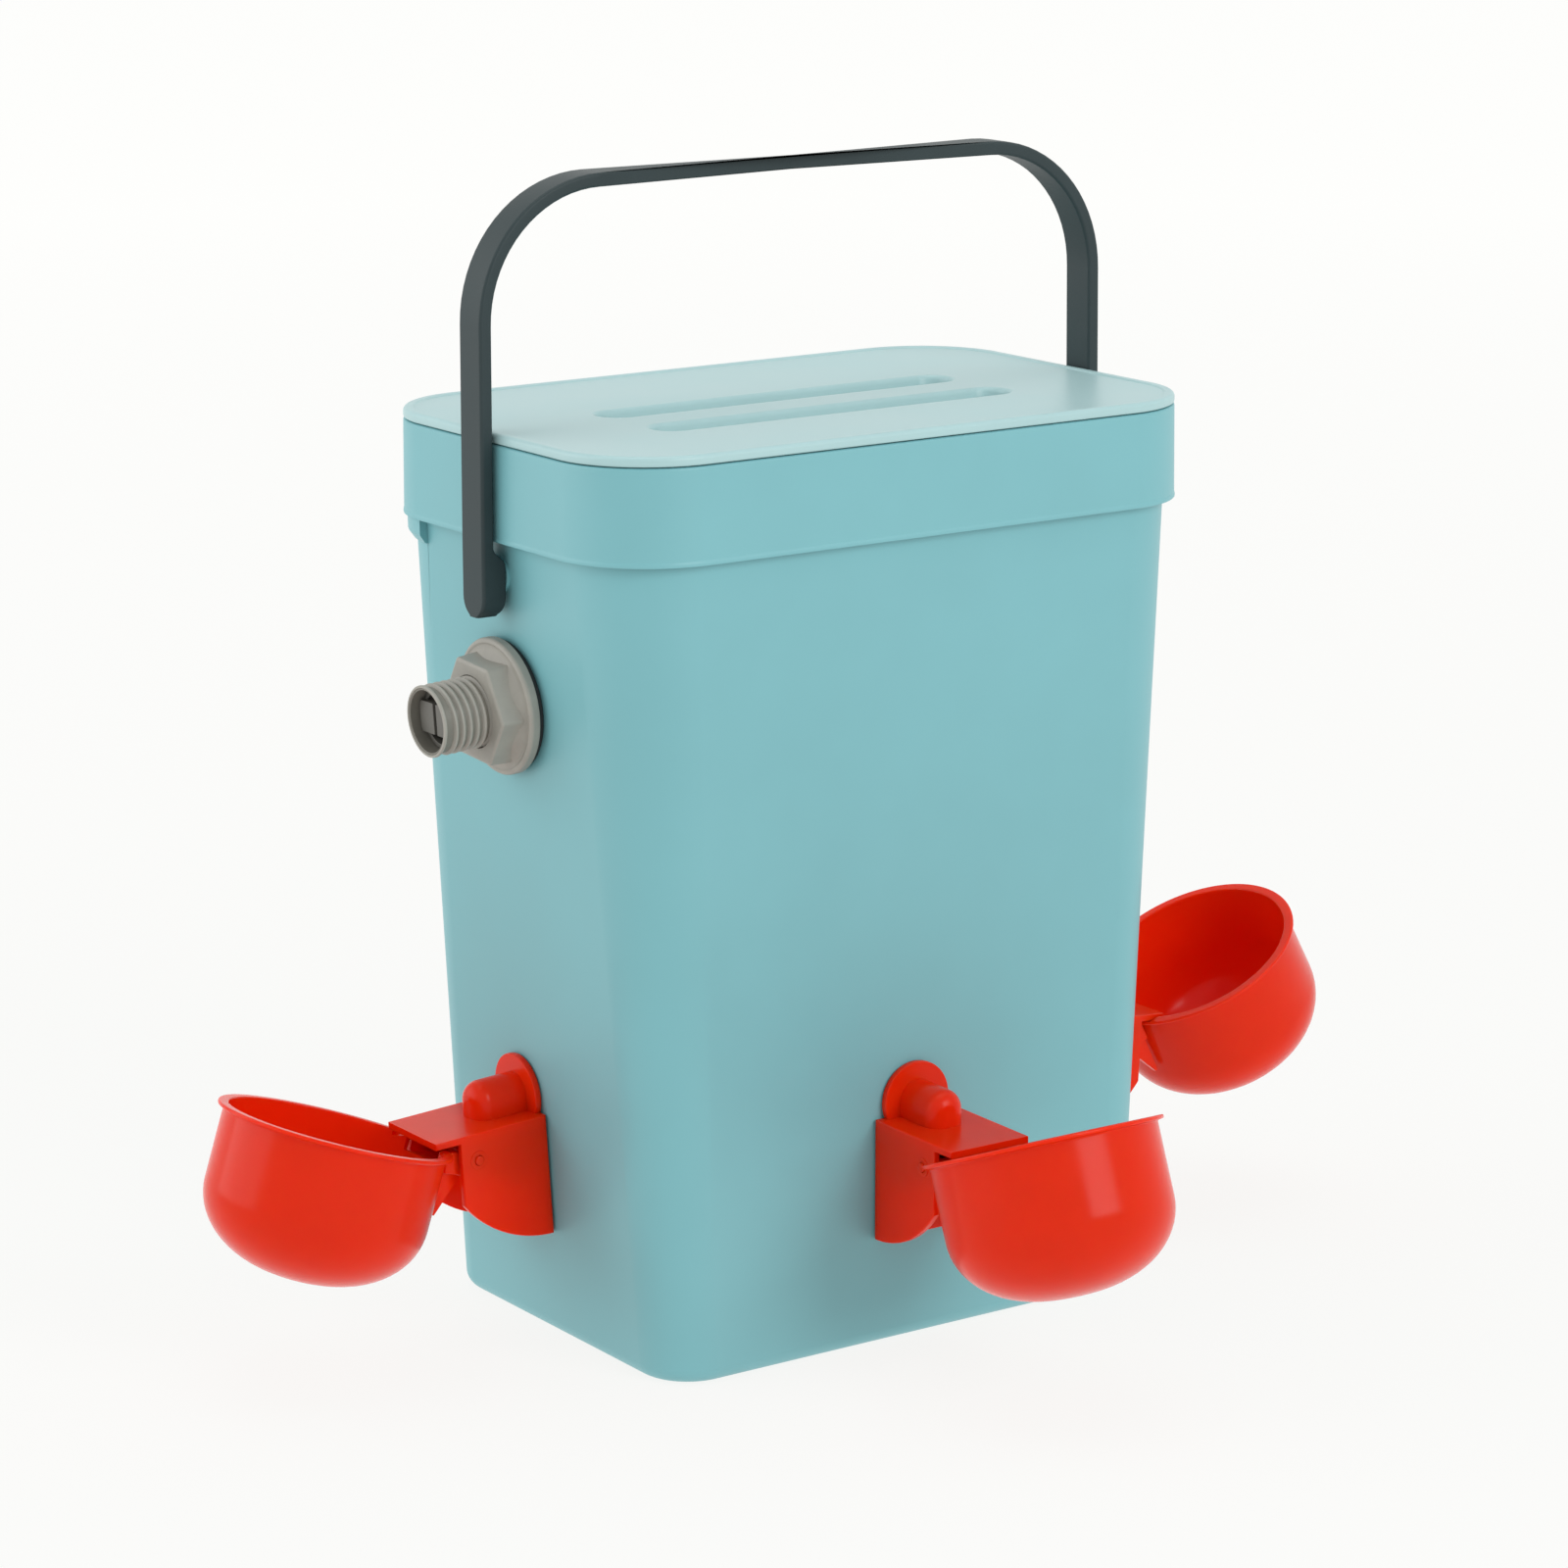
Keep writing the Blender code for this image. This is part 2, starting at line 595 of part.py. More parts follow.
def inlet_stack():
    """Where the outer seal and nut lie on the thread, outwards from the wall."""
    seal = (SEAT_GAP, SEAT_GAP + OUTER_SEAL)
    nut = (seal[1] + SEAT_GAP, seal[1] + SEAT_GAP + NUT_FLANGE + NUT_LENGTH)
    return seal, nut


def float_pin_place():
    return at(-FLOAT_PIN_INSET, 0, -FLOAT_PIN_DROP)


def valve_body():
    """Threaded stem with its inner flange, water chamber and the fork for the float arm."""
    inside = -wall_thickness(0) - SEAT_GAP
    lead = 1.2 * MM
    profile = [(INLET_BORE, INLET_REACH), (THREAD_RADIUS - lead, INLET_REACH),
               (THREAD_RADIUS, INLET_REACH - lead), (THREAD_RADIUS, inside),
               (INLET_FLANGE_RADIUS, inside), (INLET_FLANGE_RADIUS, inside - INLET_FLANGE),
               (CHAMBER_RADIUS, inside - INLET_FLANGE), (CHAMBER_RADIUS, -CHAMBER_END),
               (CHAMBER_BORE, -CHAMBER_END), (CHAMBER_BORE, -ORIFICE_END), (ORIFICE_RADIUS, -ORIFICE_END),
               (ORIFICE_RADIUS, -ORIFICE_START), (INLET_BORE, -ORIFICE_START)]
    body = turned(profile, "float_valve_body", 32, ALONG_X)
    ears = []
    for side in (-1, 1):
        faces = sorted((side * FORK_HALF, side * (FORK_HALF + EAR_THICKNESS)))
        pin = (-FLOAT_PIN_INSET, -FLOAT_PIN_DROP)
        root = EAR_REACH * 0.6
        outline = [(-CHAMBER_END + EAR_REACH, root), (-CHAMBER_END - root, root)]
        outline += arc(*pin, EAR_REACH, 150, 300, 6)
        outline += [(-CHAMBER_END, -root), (-CHAMBER_END + EAR_REACH, -root)]
        ears.append(prism(outline, *faces, "valve_ear"))
    pin_hole = rod(FLOAT_PIN_RADIUS + RUNNING_GAP, -2 * ARM_WIDTH, 2 * ARM_WIDTH, "pin_hole",
                   float_pin_place() @ ALONG_Y)
    slot_width, slot_length = OUTLET_SLOT
    middle = -(ORIFICE_END + CHAMBER_END) / 2
    outlet = box((middle - slot_length / 2, -slot_width / 2, -2 * CHAMBER_RADIUS),
                 (middle + slot_length / 2, slot_width / 2, -CHAMBER_BORE / 2), "outlet_slot")
    return carved(body, ears, (pin_hole, outlet))


def inlet_nut():
    """Hexagon nut with a round flange and a bore that clears the thread."""
    low, high = inlet_stack()[1]
    flange_top = low + NUT_FLANGE
    soft = NUT_FLANGE / 3
    bore = THREAD_RADIUS + RUNNING_GAP
    flange = turned([(0, low), (NUT_FLANGE_RADIUS - soft / 2, low), (NUT_FLANGE_RADIUS, low + soft),
                     (NUT_FLANGE_RADIUS, flange_top - soft), (NUT_FLANGE_RADIUS - soft, flange_top),
                     (0, flange_top)], "inlet_lock_nut", 36, ALONG_X)
    hexagon = bpy.data.meshes.new("hexagon")
    bm = bmesh.new()
    bmesh.ops.create_cone(bm, cap_ends=True, segments=6, radius1=NUT_SIDE, radius2=NUT_SIDE,
                          depth=high - low - soft)
    bmesh.ops.transform(bm, matrix=at(0, 0, (high + low + soft) / 2), verts=bm.verts)
    bmesh.ops.transform(bm, matrix=ALONG_X @ Matrix.Rotation(math.radians(NUT_TURN), 4, "Z"), verts=bm.verts)
    bm.to_mesh(hexagon)
    bm.free()
    corner = NUT_SIDE + NUT_CHAMFER
    rounding = turned([(0, low), (corner, low), (corner, high - 2 * NUT_CHAMFER), (NUT_SIDE - 2 * NUT_CHAMFER, high),
                       (0, high)], "nut_chamfer", 32, ALONG_X)
    chamfered = intersected(hexagon, rounding)
    hole = rod(bore, low - NUT_FLANGE, high + NUT_FLANGE, "nut_bore", ALONG_X, 36)
    return carved(flange, (chamfered,), (hole,))


def intersected(first, second):
    """The space that two meshes share."""
    scene = bpy.context.scene
    pair = [bpy.data.objects.new(mesh.name, mesh) for mesh in (first, second)]
    for obj in pair:
        scene.collection.objects.link(obj)
    modifier = pair[0].modifiers.new("shared", "BOOLEAN")
    modifier.operation = "INTERSECT"
    modifier.solver = "EXACT"
    modifier.object = pair[1]
    mesh = bpy.data.meshes.new_from_object(pair[0].evaluated_get(bpy.context.evaluated_depsgraph_get()))
    for obj in pair:
        bpy.data.objects.remove(obj)
    return mesh


def ring_seal(inner, outer, low, high, name, segments=36):
    """Flat rubber ring about local X."""
    return turned([(inner, low), (outer, low), (outer, high), (inner, high)], name, segments, ALONG_X)


def inlet_strainer():
    """Ring in the inlet's mouth that carries two flat panels with a slot between them."""
    outer = INLET_BORE - SEAT_GAP
    front = INLET_REACH - STRAINER_DEPTH
    back = front - STRAINER_LENGTH
    ring = turned([(outer - STRAINER_WALL, back), (outer, back), (outer, front), (outer - STRAINER_WALL, front)],
                  "inlet_strainer", 36, ALONG_X)
    panels = []
    for side in (-1, 1):
        faces = sorted((side * STRAINER_SLOT / 2, side * (outer - STRAINER_WALL / 2)))
        panels.append(box((front - 2 * STRAINER_WALL, faces[0], -STRAINER_PANEL_HEIGHT / 2),
                          (front - STRAINER_WALL / 2, faces[1], STRAINER_PANEL_HEIGHT / 2), "strainer_panel"))
    return carved(ring, [intersected(panel, rod(outer - STRAINER_WALL / 2, back, front, "strainer_edge",
                                                ALONG_X, 36)) for panel in panels])


def cam_reach(swing):
    """How far inwards from the pin the cam's middle lies, for a lever angle in degrees."""
    return -FLOAT_PIN_DROP * math.sin(math.radians(swing))


def piston_travel():
    return cam_reach(-FLOAT_SWING / 2) - cam_reach(FLOAT_SWING / 2)


def piston_tail():
    """Where the piston's tail lies inwards of the wall with the float down."""
    return FLOAT_PIN_INSET + cam_reach(-FLOAT_SWING / 2) - CAM_RADIUS - SEAT_GAP


def piston_front():
    return ORIFICE_END + SEAT_GAP + piston_travel()


def valve_piston():
    """Piston that carries the rubber washer to the orifice, pushed by the arm's cam."""
    radius = CHAMBER_BORE - RUNNING_GAP
    front = -piston_front() - PISTON_WASHER - SEAT_GAP
    neck = front - PISTON_HEAD_LENGTH
    tail = -piston_tail()
    return turned([(0, front), (radius, front), (radius, neck), (PISTON_STEM_RADIUS, neck),
                   (PISTON_STEM_RADIUS, tail), (0, tail)], "valve_piston", 24, ALONG_X)


def piston_washer():
    front = -piston_front()
    return rod(PISTON_WASHER_RADIUS, front - PISTON_WASHER, front, "piston_washer", ALONG_X)


def float_arm():
    """Lever on the float pin: a short arm up to the cam and a long arm out to the float."""
    hub_half = FORK_HALF - SEAT_GAP
    half = ARM_WIDTH / 2
    hub = rod(ARM_HUB_RADIUS, -hub_half, hub_half, "float_arm", ALONG_Y)
    open_half = math.degrees(math.acos(CAM_NECK / CAM_RADIUS))
    lever = prism([(-CAM_NECK, 0), (CAM_NECK, 0)]
                  + arc(0, FLOAT_PIN_DROP, CAM_RADIUS, -open_half, 180 + open_half, 10),
                  -half + SEAT_GAP, half - SEAT_GAP, "cam_lever")
    beam = box((-ARM_LENGTH, -ARM_HEIGHT / 2, -ARM_HEIGHT / 2), (-FLOAT_PIN_RADIUS, ARM_HEIGHT / 2, ARM_HEIGHT / 2),
               "arm_beam", Matrix.Rotation(-math.radians(ARM_DROOP), 4, "Y"))
    hole = rod(FLOAT_PIN_RADIUS + RUNNING_GAP, -2 * FORK_HALF, 2 * FORK_HALF, "arm_hole", ALONG_Y)
    return carved(hub, (lever, beam), (hole,))


def float_ball():
    """Hollow-looking float, an oval turned about the arm, with a socket for the arm's end."""
    near = ARM_LENGTH - FLOAT_SOCKET
    middle = near + FLOAT_LENGTH / 2
    profile = []
    for x, z in arc(0, 0, 1, 90, -90, 10):
        swell = abs(z) ** 1.5 * (1 if z > 0 else -1)
        profile.append((max(FLOAT_RADIUS * x, 0), middle + FLOAT_LENGTH / 2 * swell))
    profile[0] = (0, profile[0][1])
    profile[-1] = (0, profile[-1][1])
    tilt = Matrix.Rotation(-math.radians(ARM_DROOP), 4, "Y") @ Matrix.Rotation(math.radians(-90), 4, "Y")
    body = turned(profile[::-1], "float", 24, tilt)
    half = ARM_HEIGHT / 2 + SEAT_GAP
    socket = box((-ARM_LENGTH - SEAT_GAP, -half, -half), (-near + FLOAT_SOCKET, half, half), "float_socket",
                 Matrix.Rotation(-math.radians(ARM_DROOP), 4, "Y"))
    return carved(body, (), (socket,))


def float_pin():
    half = FORK_HALF + EAR_THICKNESS
    return rod(FLOAT_PIN_RADIUS, -half, half, "float_pin", ALONG_Y)


# Drinker, in its wall frame: X out of the wall, Y sideways, Z up along the wall

def cheek_outline():
    """Side view of the bracket: plate on top, cheek with a round lower edge."""
    top = -PLATE_DROP
    outline = [(CHEEK_GAP, top), (PLATE_REACH, top), (PLATE_REACH, PLATE_UNDER), (BRACKET_REACH, PLATE_UNDER)]
    first = -math.degrees(math.acos(BRACKET_REACH / CHEEK_RADIUS))
    last = -math.degrees(math.acos(CHEEK_GAP / CHEEK_RADIUS))
    return outline + arc(0, top, CHEEK_RADIUS, first, last, CHEEK_STEPS)


def boss_outline():
    """End view of the boss: a half round on straight sides."""
    foot = -PLATE_DROP - PLATE_THICKNESS / 2
    return [(BOSS_RADIUS, foot)] + arc(0, 0, BOSS_RADIUS, 0, 180, 10) + [(-BOSS_RADIUS, foot)]


def drinker_bracket():
    """Moulded bracket: wall disc, water boss, plate with two cheeks, stem and nozzle."""
    half = BRACKET_WIDTH / 2
    housing = prism(cheek_outline(), -half, half, "bracket", bevel=0.4 * MM)
    inner = half - BRACKET_WALL
    hollow = box((CHEEK_GAP + BRACKET_WALL, -inner, -2 * CHEEK_RADIUS), (2 * PLATE_REACH, inner, PLATE_UNDER),
                 "bracket_hollow")
    shell = carved(housing, (), (hollow,))
    disc_edge = 0.5 * MM
    disc = turned([(0, SEAT_GAP), (DISC_RADIUS, SEAT_GAP), (DISC_RADIUS, SEAT_GAP + DISC_THICKNESS - disc_edge),
                   (DISC_RADIUS - disc_edge, SEAT_GAP + DISC_THICKNESS), (0, SEAT_GAP + DISC_THICKNESS)],
                  "wall_disc", 30, ALONG_X)
    quarter = Matrix.Rotation(math.radians(90), 4, "Z")
    boss = prism(boss_outline(), -BOSS_REACH, -SEAT_GAP - DISC_THICKNESS / 2, "water_boss", quarter, BOSS_NOSE)
    stem = rod(STEM_RADIUS, -STEM_LENGTH, SEAT_GAP + DISC_THICKNESS / 2, "stem", ALONG_X)
    nozzle = rod(NOZZLE_RADIUS, NOZZLE_TIP, PLATE_UNDER + PLATE_THICKNESS / 2, "nozzle", at(NOZZLE_REACH, 0, 0))
    gallery = rod(STEM_BORE, -2 * STEM_LENGTH, NOZZLE_REACH + NOZZLE_BORE, "gallery", ALONG_X)
    drop = rod(NOZZLE_BORE, 2 * NOZZLE_TIP, 0, "drop_bore", at(NOZZLE_REACH, 0, 0), 16)
    pin_hole = rod(PIN_RADIUS + RUNNING_GAP, -BRACKET_WIDTH, BRACKET_WIDTH, "pin_hole",
                   at(PIN_REACH, 0, -PIN_DROP) @ ALONG_Y)
    return carved(shell, (disc, boss, stem, nozzle), (gallery, drop, pin_hole))


def hinge_pin():
    half = BRACKET_WIDTH / 2 + SEAT_GAP
    soft = 0.3 * MM
    return turned([(0, -half), (PIN_RADIUS - soft, -half), (PIN_RADIUS, soft - half), (PIN_RADIUS, half - soft),
                   (PIN_RADIUS - soft, half), (0, half)], "hinge_pin", 20, ALONG_Y)


def stem_stack(side):
    """Where the seal and the lock nut lie on the stem, inwards from the wall."""
    seal = wall_thickness(side) + SEAT_GAP
    nut = seal + STEM_SEAL + SEAT_GAP
    return seal, nut


def stem_seal(side):
    low = stem_stack(side)[0]
    return ring_seal(STEM_RADIUS + SEAT_GAP, STEM_SEAL_RADIUS, -low - STEM_SEAL, -low, "stem_seal", 24)


def lock_nut(side):
    """Hexagon nut on the stem, inside the bucket."""
    low = stem_stack(side)[1]
    bm = bmesh.new()
    bmesh.ops.create_cone(bm, cap_ends=True, segments=6, radius1=STEM_NUT_SIDE, radius2=STEM_NUT_SIDE,
                          depth=STEM_NUT_LENGTH)
    middle = -low - STEM_NUT_LENGTH / 2
    bmesh.ops.transform(bm, matrix=at(middle, 0, 0) @ ALONG_X, verts=bm.verts)
    bmesh.ops.bevel(bm, geom=bm.edges[:], offset=0.6 * MM, segments=1, profile=0.5, affect="EDGES",
                    material=-1)
    nut = finished_mesh(bm, "stem_lock_nut")
    bore = rod(STEM_RADIUS + SEAT_GAP, -2 * STEM_LENGTH, 0, "nut_bore", ALONG_X)
    return carved(nut, (), (bore,))


# Tipping cup, in the bracket's axes with its pin as origin and its valve shut

def stop_tilt():
    """Angle from the bracket's axes at which the cup's rim stops under the plate's tip."""
    tip = Vector((PLATE_REACH - PIN_REACH, PLATE_UNDER + PIN_DROP - STOP_GAP))
    return math.degrees(math.atan2(tip.y, tip.x) - math.asin(RIM_ABOVE_PIN / tip.length))


def cup_swing(rest):
    """Degrees between the shut valve and where the empty cup hangs or lies against its stop."""
    return (HANGING_TILT if rest == "hanging" else stop_tilt()) - CLOSED_TILT


def bowl():
    """Outer and inner wall of the bowl, turned about its own axis, with its rolled lip."""
    lip = CUP_RADIUS + CUP_LIP
    soft = CUP_LIP_HEIGHT / 3
    profile = [(lip - soft, 0), (lip, -soft), (lip, soft - CUP_LIP_HEIGHT), (lip - soft, -CUP_LIP_HEIGHT),
               (CUP_RADIUS, -CUP_LIP_HEIGHT)]
    outer = bowl_curve(CUP_RADIUS, CUP_DEPTH)
    inner = bowl_curve(CUP_RADIUS - CUP_WALL, CUP_DEPTH - CUP_WALL)
    top = [(CUP_RADIUS - CUP_WALL, -soft), (CUP_RADIUS - CUP_WALL + soft, 0)]
    bm = bmesh.new()
    verts = [bm.verts.new((radius, 0, height)) for radius, height in profile + outer]
    inner_verts = [bm.verts.new((radius, 0, height)) for radius, height in inner[::-1] + top]
    edges = [bm.edges.new(pair) for pair in zip(verts, verts[1:])]
    edges += [bm.edges.new(pair) for pair in zip(inner_verts, inner_verts[1:])]
    edges.append(bm.edges.new((inner_verts[-1], verts[0])))
    bmesh.ops.spin(bm, geom=verts + inner_verts + edges, cent=(0, 0, 0), axis=(0, 0, 1), angle=math.tau,
                   steps=CUP_SEGMENTS, use_merge=True, use_duplicate=False)
    return bm


def bowl_curve(radius, depth):
    """Straight upper wall and a full round bottom, down to the axis."""
    fall = depth - CUP_STRAIGHT
    points = []
    for step in range(CUP_BOWL_STEPS + 1):
        angle = math.radians(90) * step / CUP_BOWL_STEPS
        across = math.cos(angle) ** 0.85
        points.append((radius * across if step < CUP_BOWL_STEPS else 0.0,
                       -CUP_STRAIGHT - fall * math.sin(angle)))
    return points


def cup():
    """Bowl and, behind it, the trough with knuckles for the pin and the seat of the valve pad."""
    level = Matrix.Rotation(-math.radians(CLOSED_TILT), 4, "Y")
    bm = bowl()
    bmesh.ops.transform(bm, matrix=level @ at(RIM_CENTRE, 0, RIM_ABOVE_PIN), verts=bm.verts)
    body = finished_mesh(bm, "cup")
    half = TROUGH_WIDTH / 2
    into_bowl = CUP_PIN_GAP + CUP_LIP + CUP_WALL / 2
    crest = [(into_bowl, RIM_ABOVE_PIN + into_bowl * math.sin(math.radians(CLOSED_TILT)) - STOP_GAP),
             (0.0, RIM_ABOVE_PIN + STOP_GAP + PIN_RADIUS), (-PIN_RADIUS, TROUGH_TAIL_HEIGHT)]
    outline = [(-TROUGH_TAIL, -TROUGH_FLOOR), (into_bowl, -TROUGH_FLOOR)] + crest
    outline.append((-TROUGH_TAIL, TROUGH_TAIL_HEIGHT))
    trough = prism(outline, -half, half, "trough", bevel=0.4 * MM)
    gussets = []
    for side in (-1, 1):
        middle = side * (half - 1.5 * TROUGH_WALL)
        web = [(PIN_RADIUS, -TROUGH_FLOOR + TROUGH_WALL / 2), (into_bowl, -TROUGH_FLOOR + TROUGH_WALL / 2),
               (into_bowl, -TROUGH_FLOOR - GUSSET_DROP), (into_bowl - TROUGH_WALL / 2, -TROUGH_FLOOR - GUSSET_DROP)]
        gussets.append(prism(web, middle - TROUGH_WALL / 2, middle + TROUGH_WALL / 2, "gusset"))
    pad_seat = pad_place()
    pedestal = rod(PAD_RADIUS, -TROUGH_FLOOR + TROUGH_WALL / 2, pad_seat[1], "pad_pedestal",
                   at(pad_seat[0], 0, 0))
    inner = half - TROUGH_WALL
    channel = box((-TROUGH_TAIL + TROUGH_WALL, -inner, -TROUGH_FLOOR + TROUGH_WALL),
                  (into_bowl + 2 * CUP_WALL, inner, 2 * TROUGH_TAIL_HEIGHT), "trough_channel")
    pin_hole = rod(PIN_RADIUS + RUNNING_GAP, -TROUGH_WIDTH, TROUGH_WIDTH, "knuckle_hole", ALONG_Y)
    hull = carved(body, [trough] + gussets, (channel,))
    return carved(hull, (pedestal,), (pin_hole,))


def pad_place():
    """Where the pad's seat lies from the pin, with the valve shut: x and the seat's height."""
    x = NOZZLE_REACH - PIN_REACH
    seat = NOZZLE_TIP + PIN_DROP - SEAT_GAP - PAD_THICKNESS - SEAT_GAP
    return x, seat


def valve_pad():
    """Rubber pad that shuts the nozzle when the full cup tips down."""
    x, seat = pad_place()
    low = seat + SEAT_GAP
    return rod(PAD_RADIUS, low, low + PAD_THICKNESS, "valve_pad", at(x, 0, 0))


def return_spring(rest):
    """Coil spring from the plate, round the nozzle, to the floor of the empty cup's tail."""
    tilt = math.radians(cup_swing(rest))
    swing = Matrix.Rotation(-tilt, 4, "Y")
    pin = Vector((PIN_REACH, 0, -PIN_DROP))
    lift = SEAT_GAP + SPRING_WIRE
    top = Vector((NOZZLE_REACH, 0, PLATE_UNDER - lift))
    foot = pin + swing @ Vector((pad_place()[0], 0, TROUGH_WALL - TROUGH_FLOOR + lift))
    length = (top - foot).length
    count = int(SPRING_TURNS * SPRING_STEPS)

    def centre_line(share):
        """Curve that leaves the tail square to it and meets the plate square to that."""
        rest = 1 - share
        from_tail = foot + swing @ Vector((0, 0, length / 3))
        from_plate = top - Vector((0, 0, length / 3))
        return (foot * rest ** 3 + from_tail * 3 * rest ** 2 * share
                + from_plate * 3 * rest * share ** 2 + top * share ** 3)

    rings = []
    for step in range(count + 1):
        share = step / count
        turn = math.tau * step / SPRING_STEPS
        lean = Matrix.Rotation(-tilt * (1 - share), 4, "Y")
        out = lean @ Vector((math.cos(turn), math.sin(turn), 0))
        up = lean @ Vector((0, 0, 1))
        centre = centre_line(share) + out * SPRING_RADIUS
        ring = []
        for corner in range(5):
            angle = math.tau * corner / 5
            ring.append(centre + SPRING_WIRE * (out * math.cos(angle) + up * math.sin(angle)))
        rings.append(ring)
    return loft(rings, "return_spring")


def build():
    for obj in list(bpy.data.objects):
        bpy.data.objects.remove(obj)

    teal = material("teal_polypropylene", "85BCC1", 0.45)
    pale = material("pale_teal_polypropylene", "B4D6D7", 0.4)
    grey = material("dark_grey_polypropylene", "4C5556", 0.5)
    fitting = material("warm_grey_plastic", "9C9A90", 0.5)
    red = material("red_plastic", "DC2B12", 0.3)
    rubber = material("black_rubber", "202224", 0.8)
    white = material("white_plastic", "E8E9E4", 0.4)
    steel = material("stainless_steel", "B9BBBC", 0.3, 1.0)

    place("bucket_body", bucket_body(), teal)
    place("lid", lid(), pale, matrix=at(0, 0, SEAT_HEIGHT + SEAT_GAP))
    place("handle", handle(), grey, matrix=at(0, 0, PIVOT_HEIGHT))

    inlet = frame_empty("inlet_frame", wall_frame(180, INLET_HEIGHT))
    place("float_valve_body", valve_body(), fitting, inlet)
    place("inlet_lock_nut", inlet_nut(), fitting, inlet)
    seal_low, seal_high = inlet_stack()[0]
    place("inlet_seal", ring_seal(THREAD_RADIUS + SEAT_GAP, OUTER_SEAL_RADIUS, seal_low, seal_high,
                                  "inlet_seal"), rubber, inlet)
    place("inlet_strainer", inlet_strainer(), fitting, inlet)
    place("valve_piston", valve_piston(), white, inlet)
    place("piston_washer", piston_washer(), rubber, inlet)
    place("float_pin", float_pin(), steel, inlet, float_pin_place())
    swing = frame_empty("float_swing", float_pin_place() @ Matrix.Rotation(math.radians(-FLOAT_SWING / 2), 4, "Y"),
                        inlet)
    place("float_arm", float_arm(), white, swing)
    place("float", float_ball(), white, swing)

    bracket = drinker_bracket()
    bowl_and_trough = cup()
    pin = hinge_pin()
    pad = valve_pad()
    springs = {rest: return_spring(rest) for rest in ("hanging", "stopped")}
    for name, azimuth, across, rest in DRINKERS:
        side = 1 if azimuth == 270 else 0
        wall = frame_empty("drinker_" + name, wall_frame(azimuth, DRINKER_HEIGHT, across))
        hinge = frame_empty("cup_hinge_" + name, at(PIN_REACH, 0, -PIN_DROP), wall)
        hinge.rotation_euler.y = -math.radians(cup_swing(rest))
        place("bracket_" + name, bracket, red, wall)
        place("stem_seal_" + name, stem_seal(side), rubber, wall)
        place("stem_lock_nut_" + name, lock_nut(side), red, wall)
        place("hinge_pin_" + name, pin, red, wall, at(PIN_REACH, 0, -PIN_DROP))
        place("cup_" + name, bowl_and_trough, red, hinge)
        place("valve_pad_" + name, pad, rubber, hinge)
        place("return_spring_" + name, springs[rest], steel, wall)
    bpy.context.view_layer.update()


build()
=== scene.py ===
"""Poultry cup drinker bucket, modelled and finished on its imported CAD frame.

Lengths are in metres. The bucket stands on Z = 0; -Y is its front and -X the side with the
water inlet.
"""

import json
import math

import bmesh
import bpy
from bpy.props import FloatProperty, FloatVectorProperty, IntProperty, PointerProperty
from mathutils import Matrix, Vector


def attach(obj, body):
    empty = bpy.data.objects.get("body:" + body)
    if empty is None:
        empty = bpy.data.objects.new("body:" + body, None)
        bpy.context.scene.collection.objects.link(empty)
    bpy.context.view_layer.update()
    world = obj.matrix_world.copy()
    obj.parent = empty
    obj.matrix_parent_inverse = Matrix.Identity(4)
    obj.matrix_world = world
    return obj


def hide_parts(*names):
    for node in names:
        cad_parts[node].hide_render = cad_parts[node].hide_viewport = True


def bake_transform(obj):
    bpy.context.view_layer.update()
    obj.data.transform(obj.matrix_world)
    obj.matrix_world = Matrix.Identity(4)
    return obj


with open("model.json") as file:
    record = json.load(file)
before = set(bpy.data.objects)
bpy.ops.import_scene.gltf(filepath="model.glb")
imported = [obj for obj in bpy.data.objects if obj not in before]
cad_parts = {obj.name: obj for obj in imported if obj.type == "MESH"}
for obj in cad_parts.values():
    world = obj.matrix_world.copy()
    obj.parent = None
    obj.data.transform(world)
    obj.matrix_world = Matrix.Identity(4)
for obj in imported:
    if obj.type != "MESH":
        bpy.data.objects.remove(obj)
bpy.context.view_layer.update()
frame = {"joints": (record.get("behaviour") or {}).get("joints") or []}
travel = {joint["name"]: joint for joint in frame["joints"]}

bl_info = {
    "name": "Poultry Cup Drinker Bucket",
    "version": (1, 0, 0),
    "blender": (4, 5, 0),
    "location": "View3D > Sidebar > Drinker Bucket",
    "description": "Models a bucket with a float valve inlet and three tipping drinking cups",
    "category": "Add Mesh",
}

MM = 0.001
# Clearance between faces that are pressed together, and round what passes through a wall
SEAT_GAP = 0.3 * MM
BORE_GAP = 0.4 * MM
# The drinkers and the directions their walls face, in degrees from +X
SIDES = (("left", 180), ("front", 270), ("right", 0))
# Turns that lay local Z along X and along Y
ALONG_X = Matrix.Rotation(math.radians(90), 4, "Y")
ALONG_Y = Matrix.Rotation(math.radians(-90), 4, "X")


def linear(colour):
    """Linear red, green and blue of an sRGB hex colour."""
    channels = [int(colour[i:i + 2], 16) / 255 for i in (0, 2, 4)]
    return tuple(c / 12.92 if c <= 0.04045 else ((c + 0.055) / 1.055) ** 2.4 for c in channels)


def length(name, description, default):
    """A length property."""
    return FloatProperty(name=name, description=description, default=default, min=0.0, unit="LENGTH")


def outline(name, description, default):
    """Half width, half depth and corner radius."""
    return FloatVectorProperty(name=name, description=description, default=default, size=3,
                               unit="LENGTH")


def colour(name, description, default):
    """A colour property from an sRGB hex value."""
    return FloatVectorProperty(name=name, description=description, default=linear(default), size=3,
                               subtype="COLOR", min=0.0, max=1.0)


# Sizes and colours

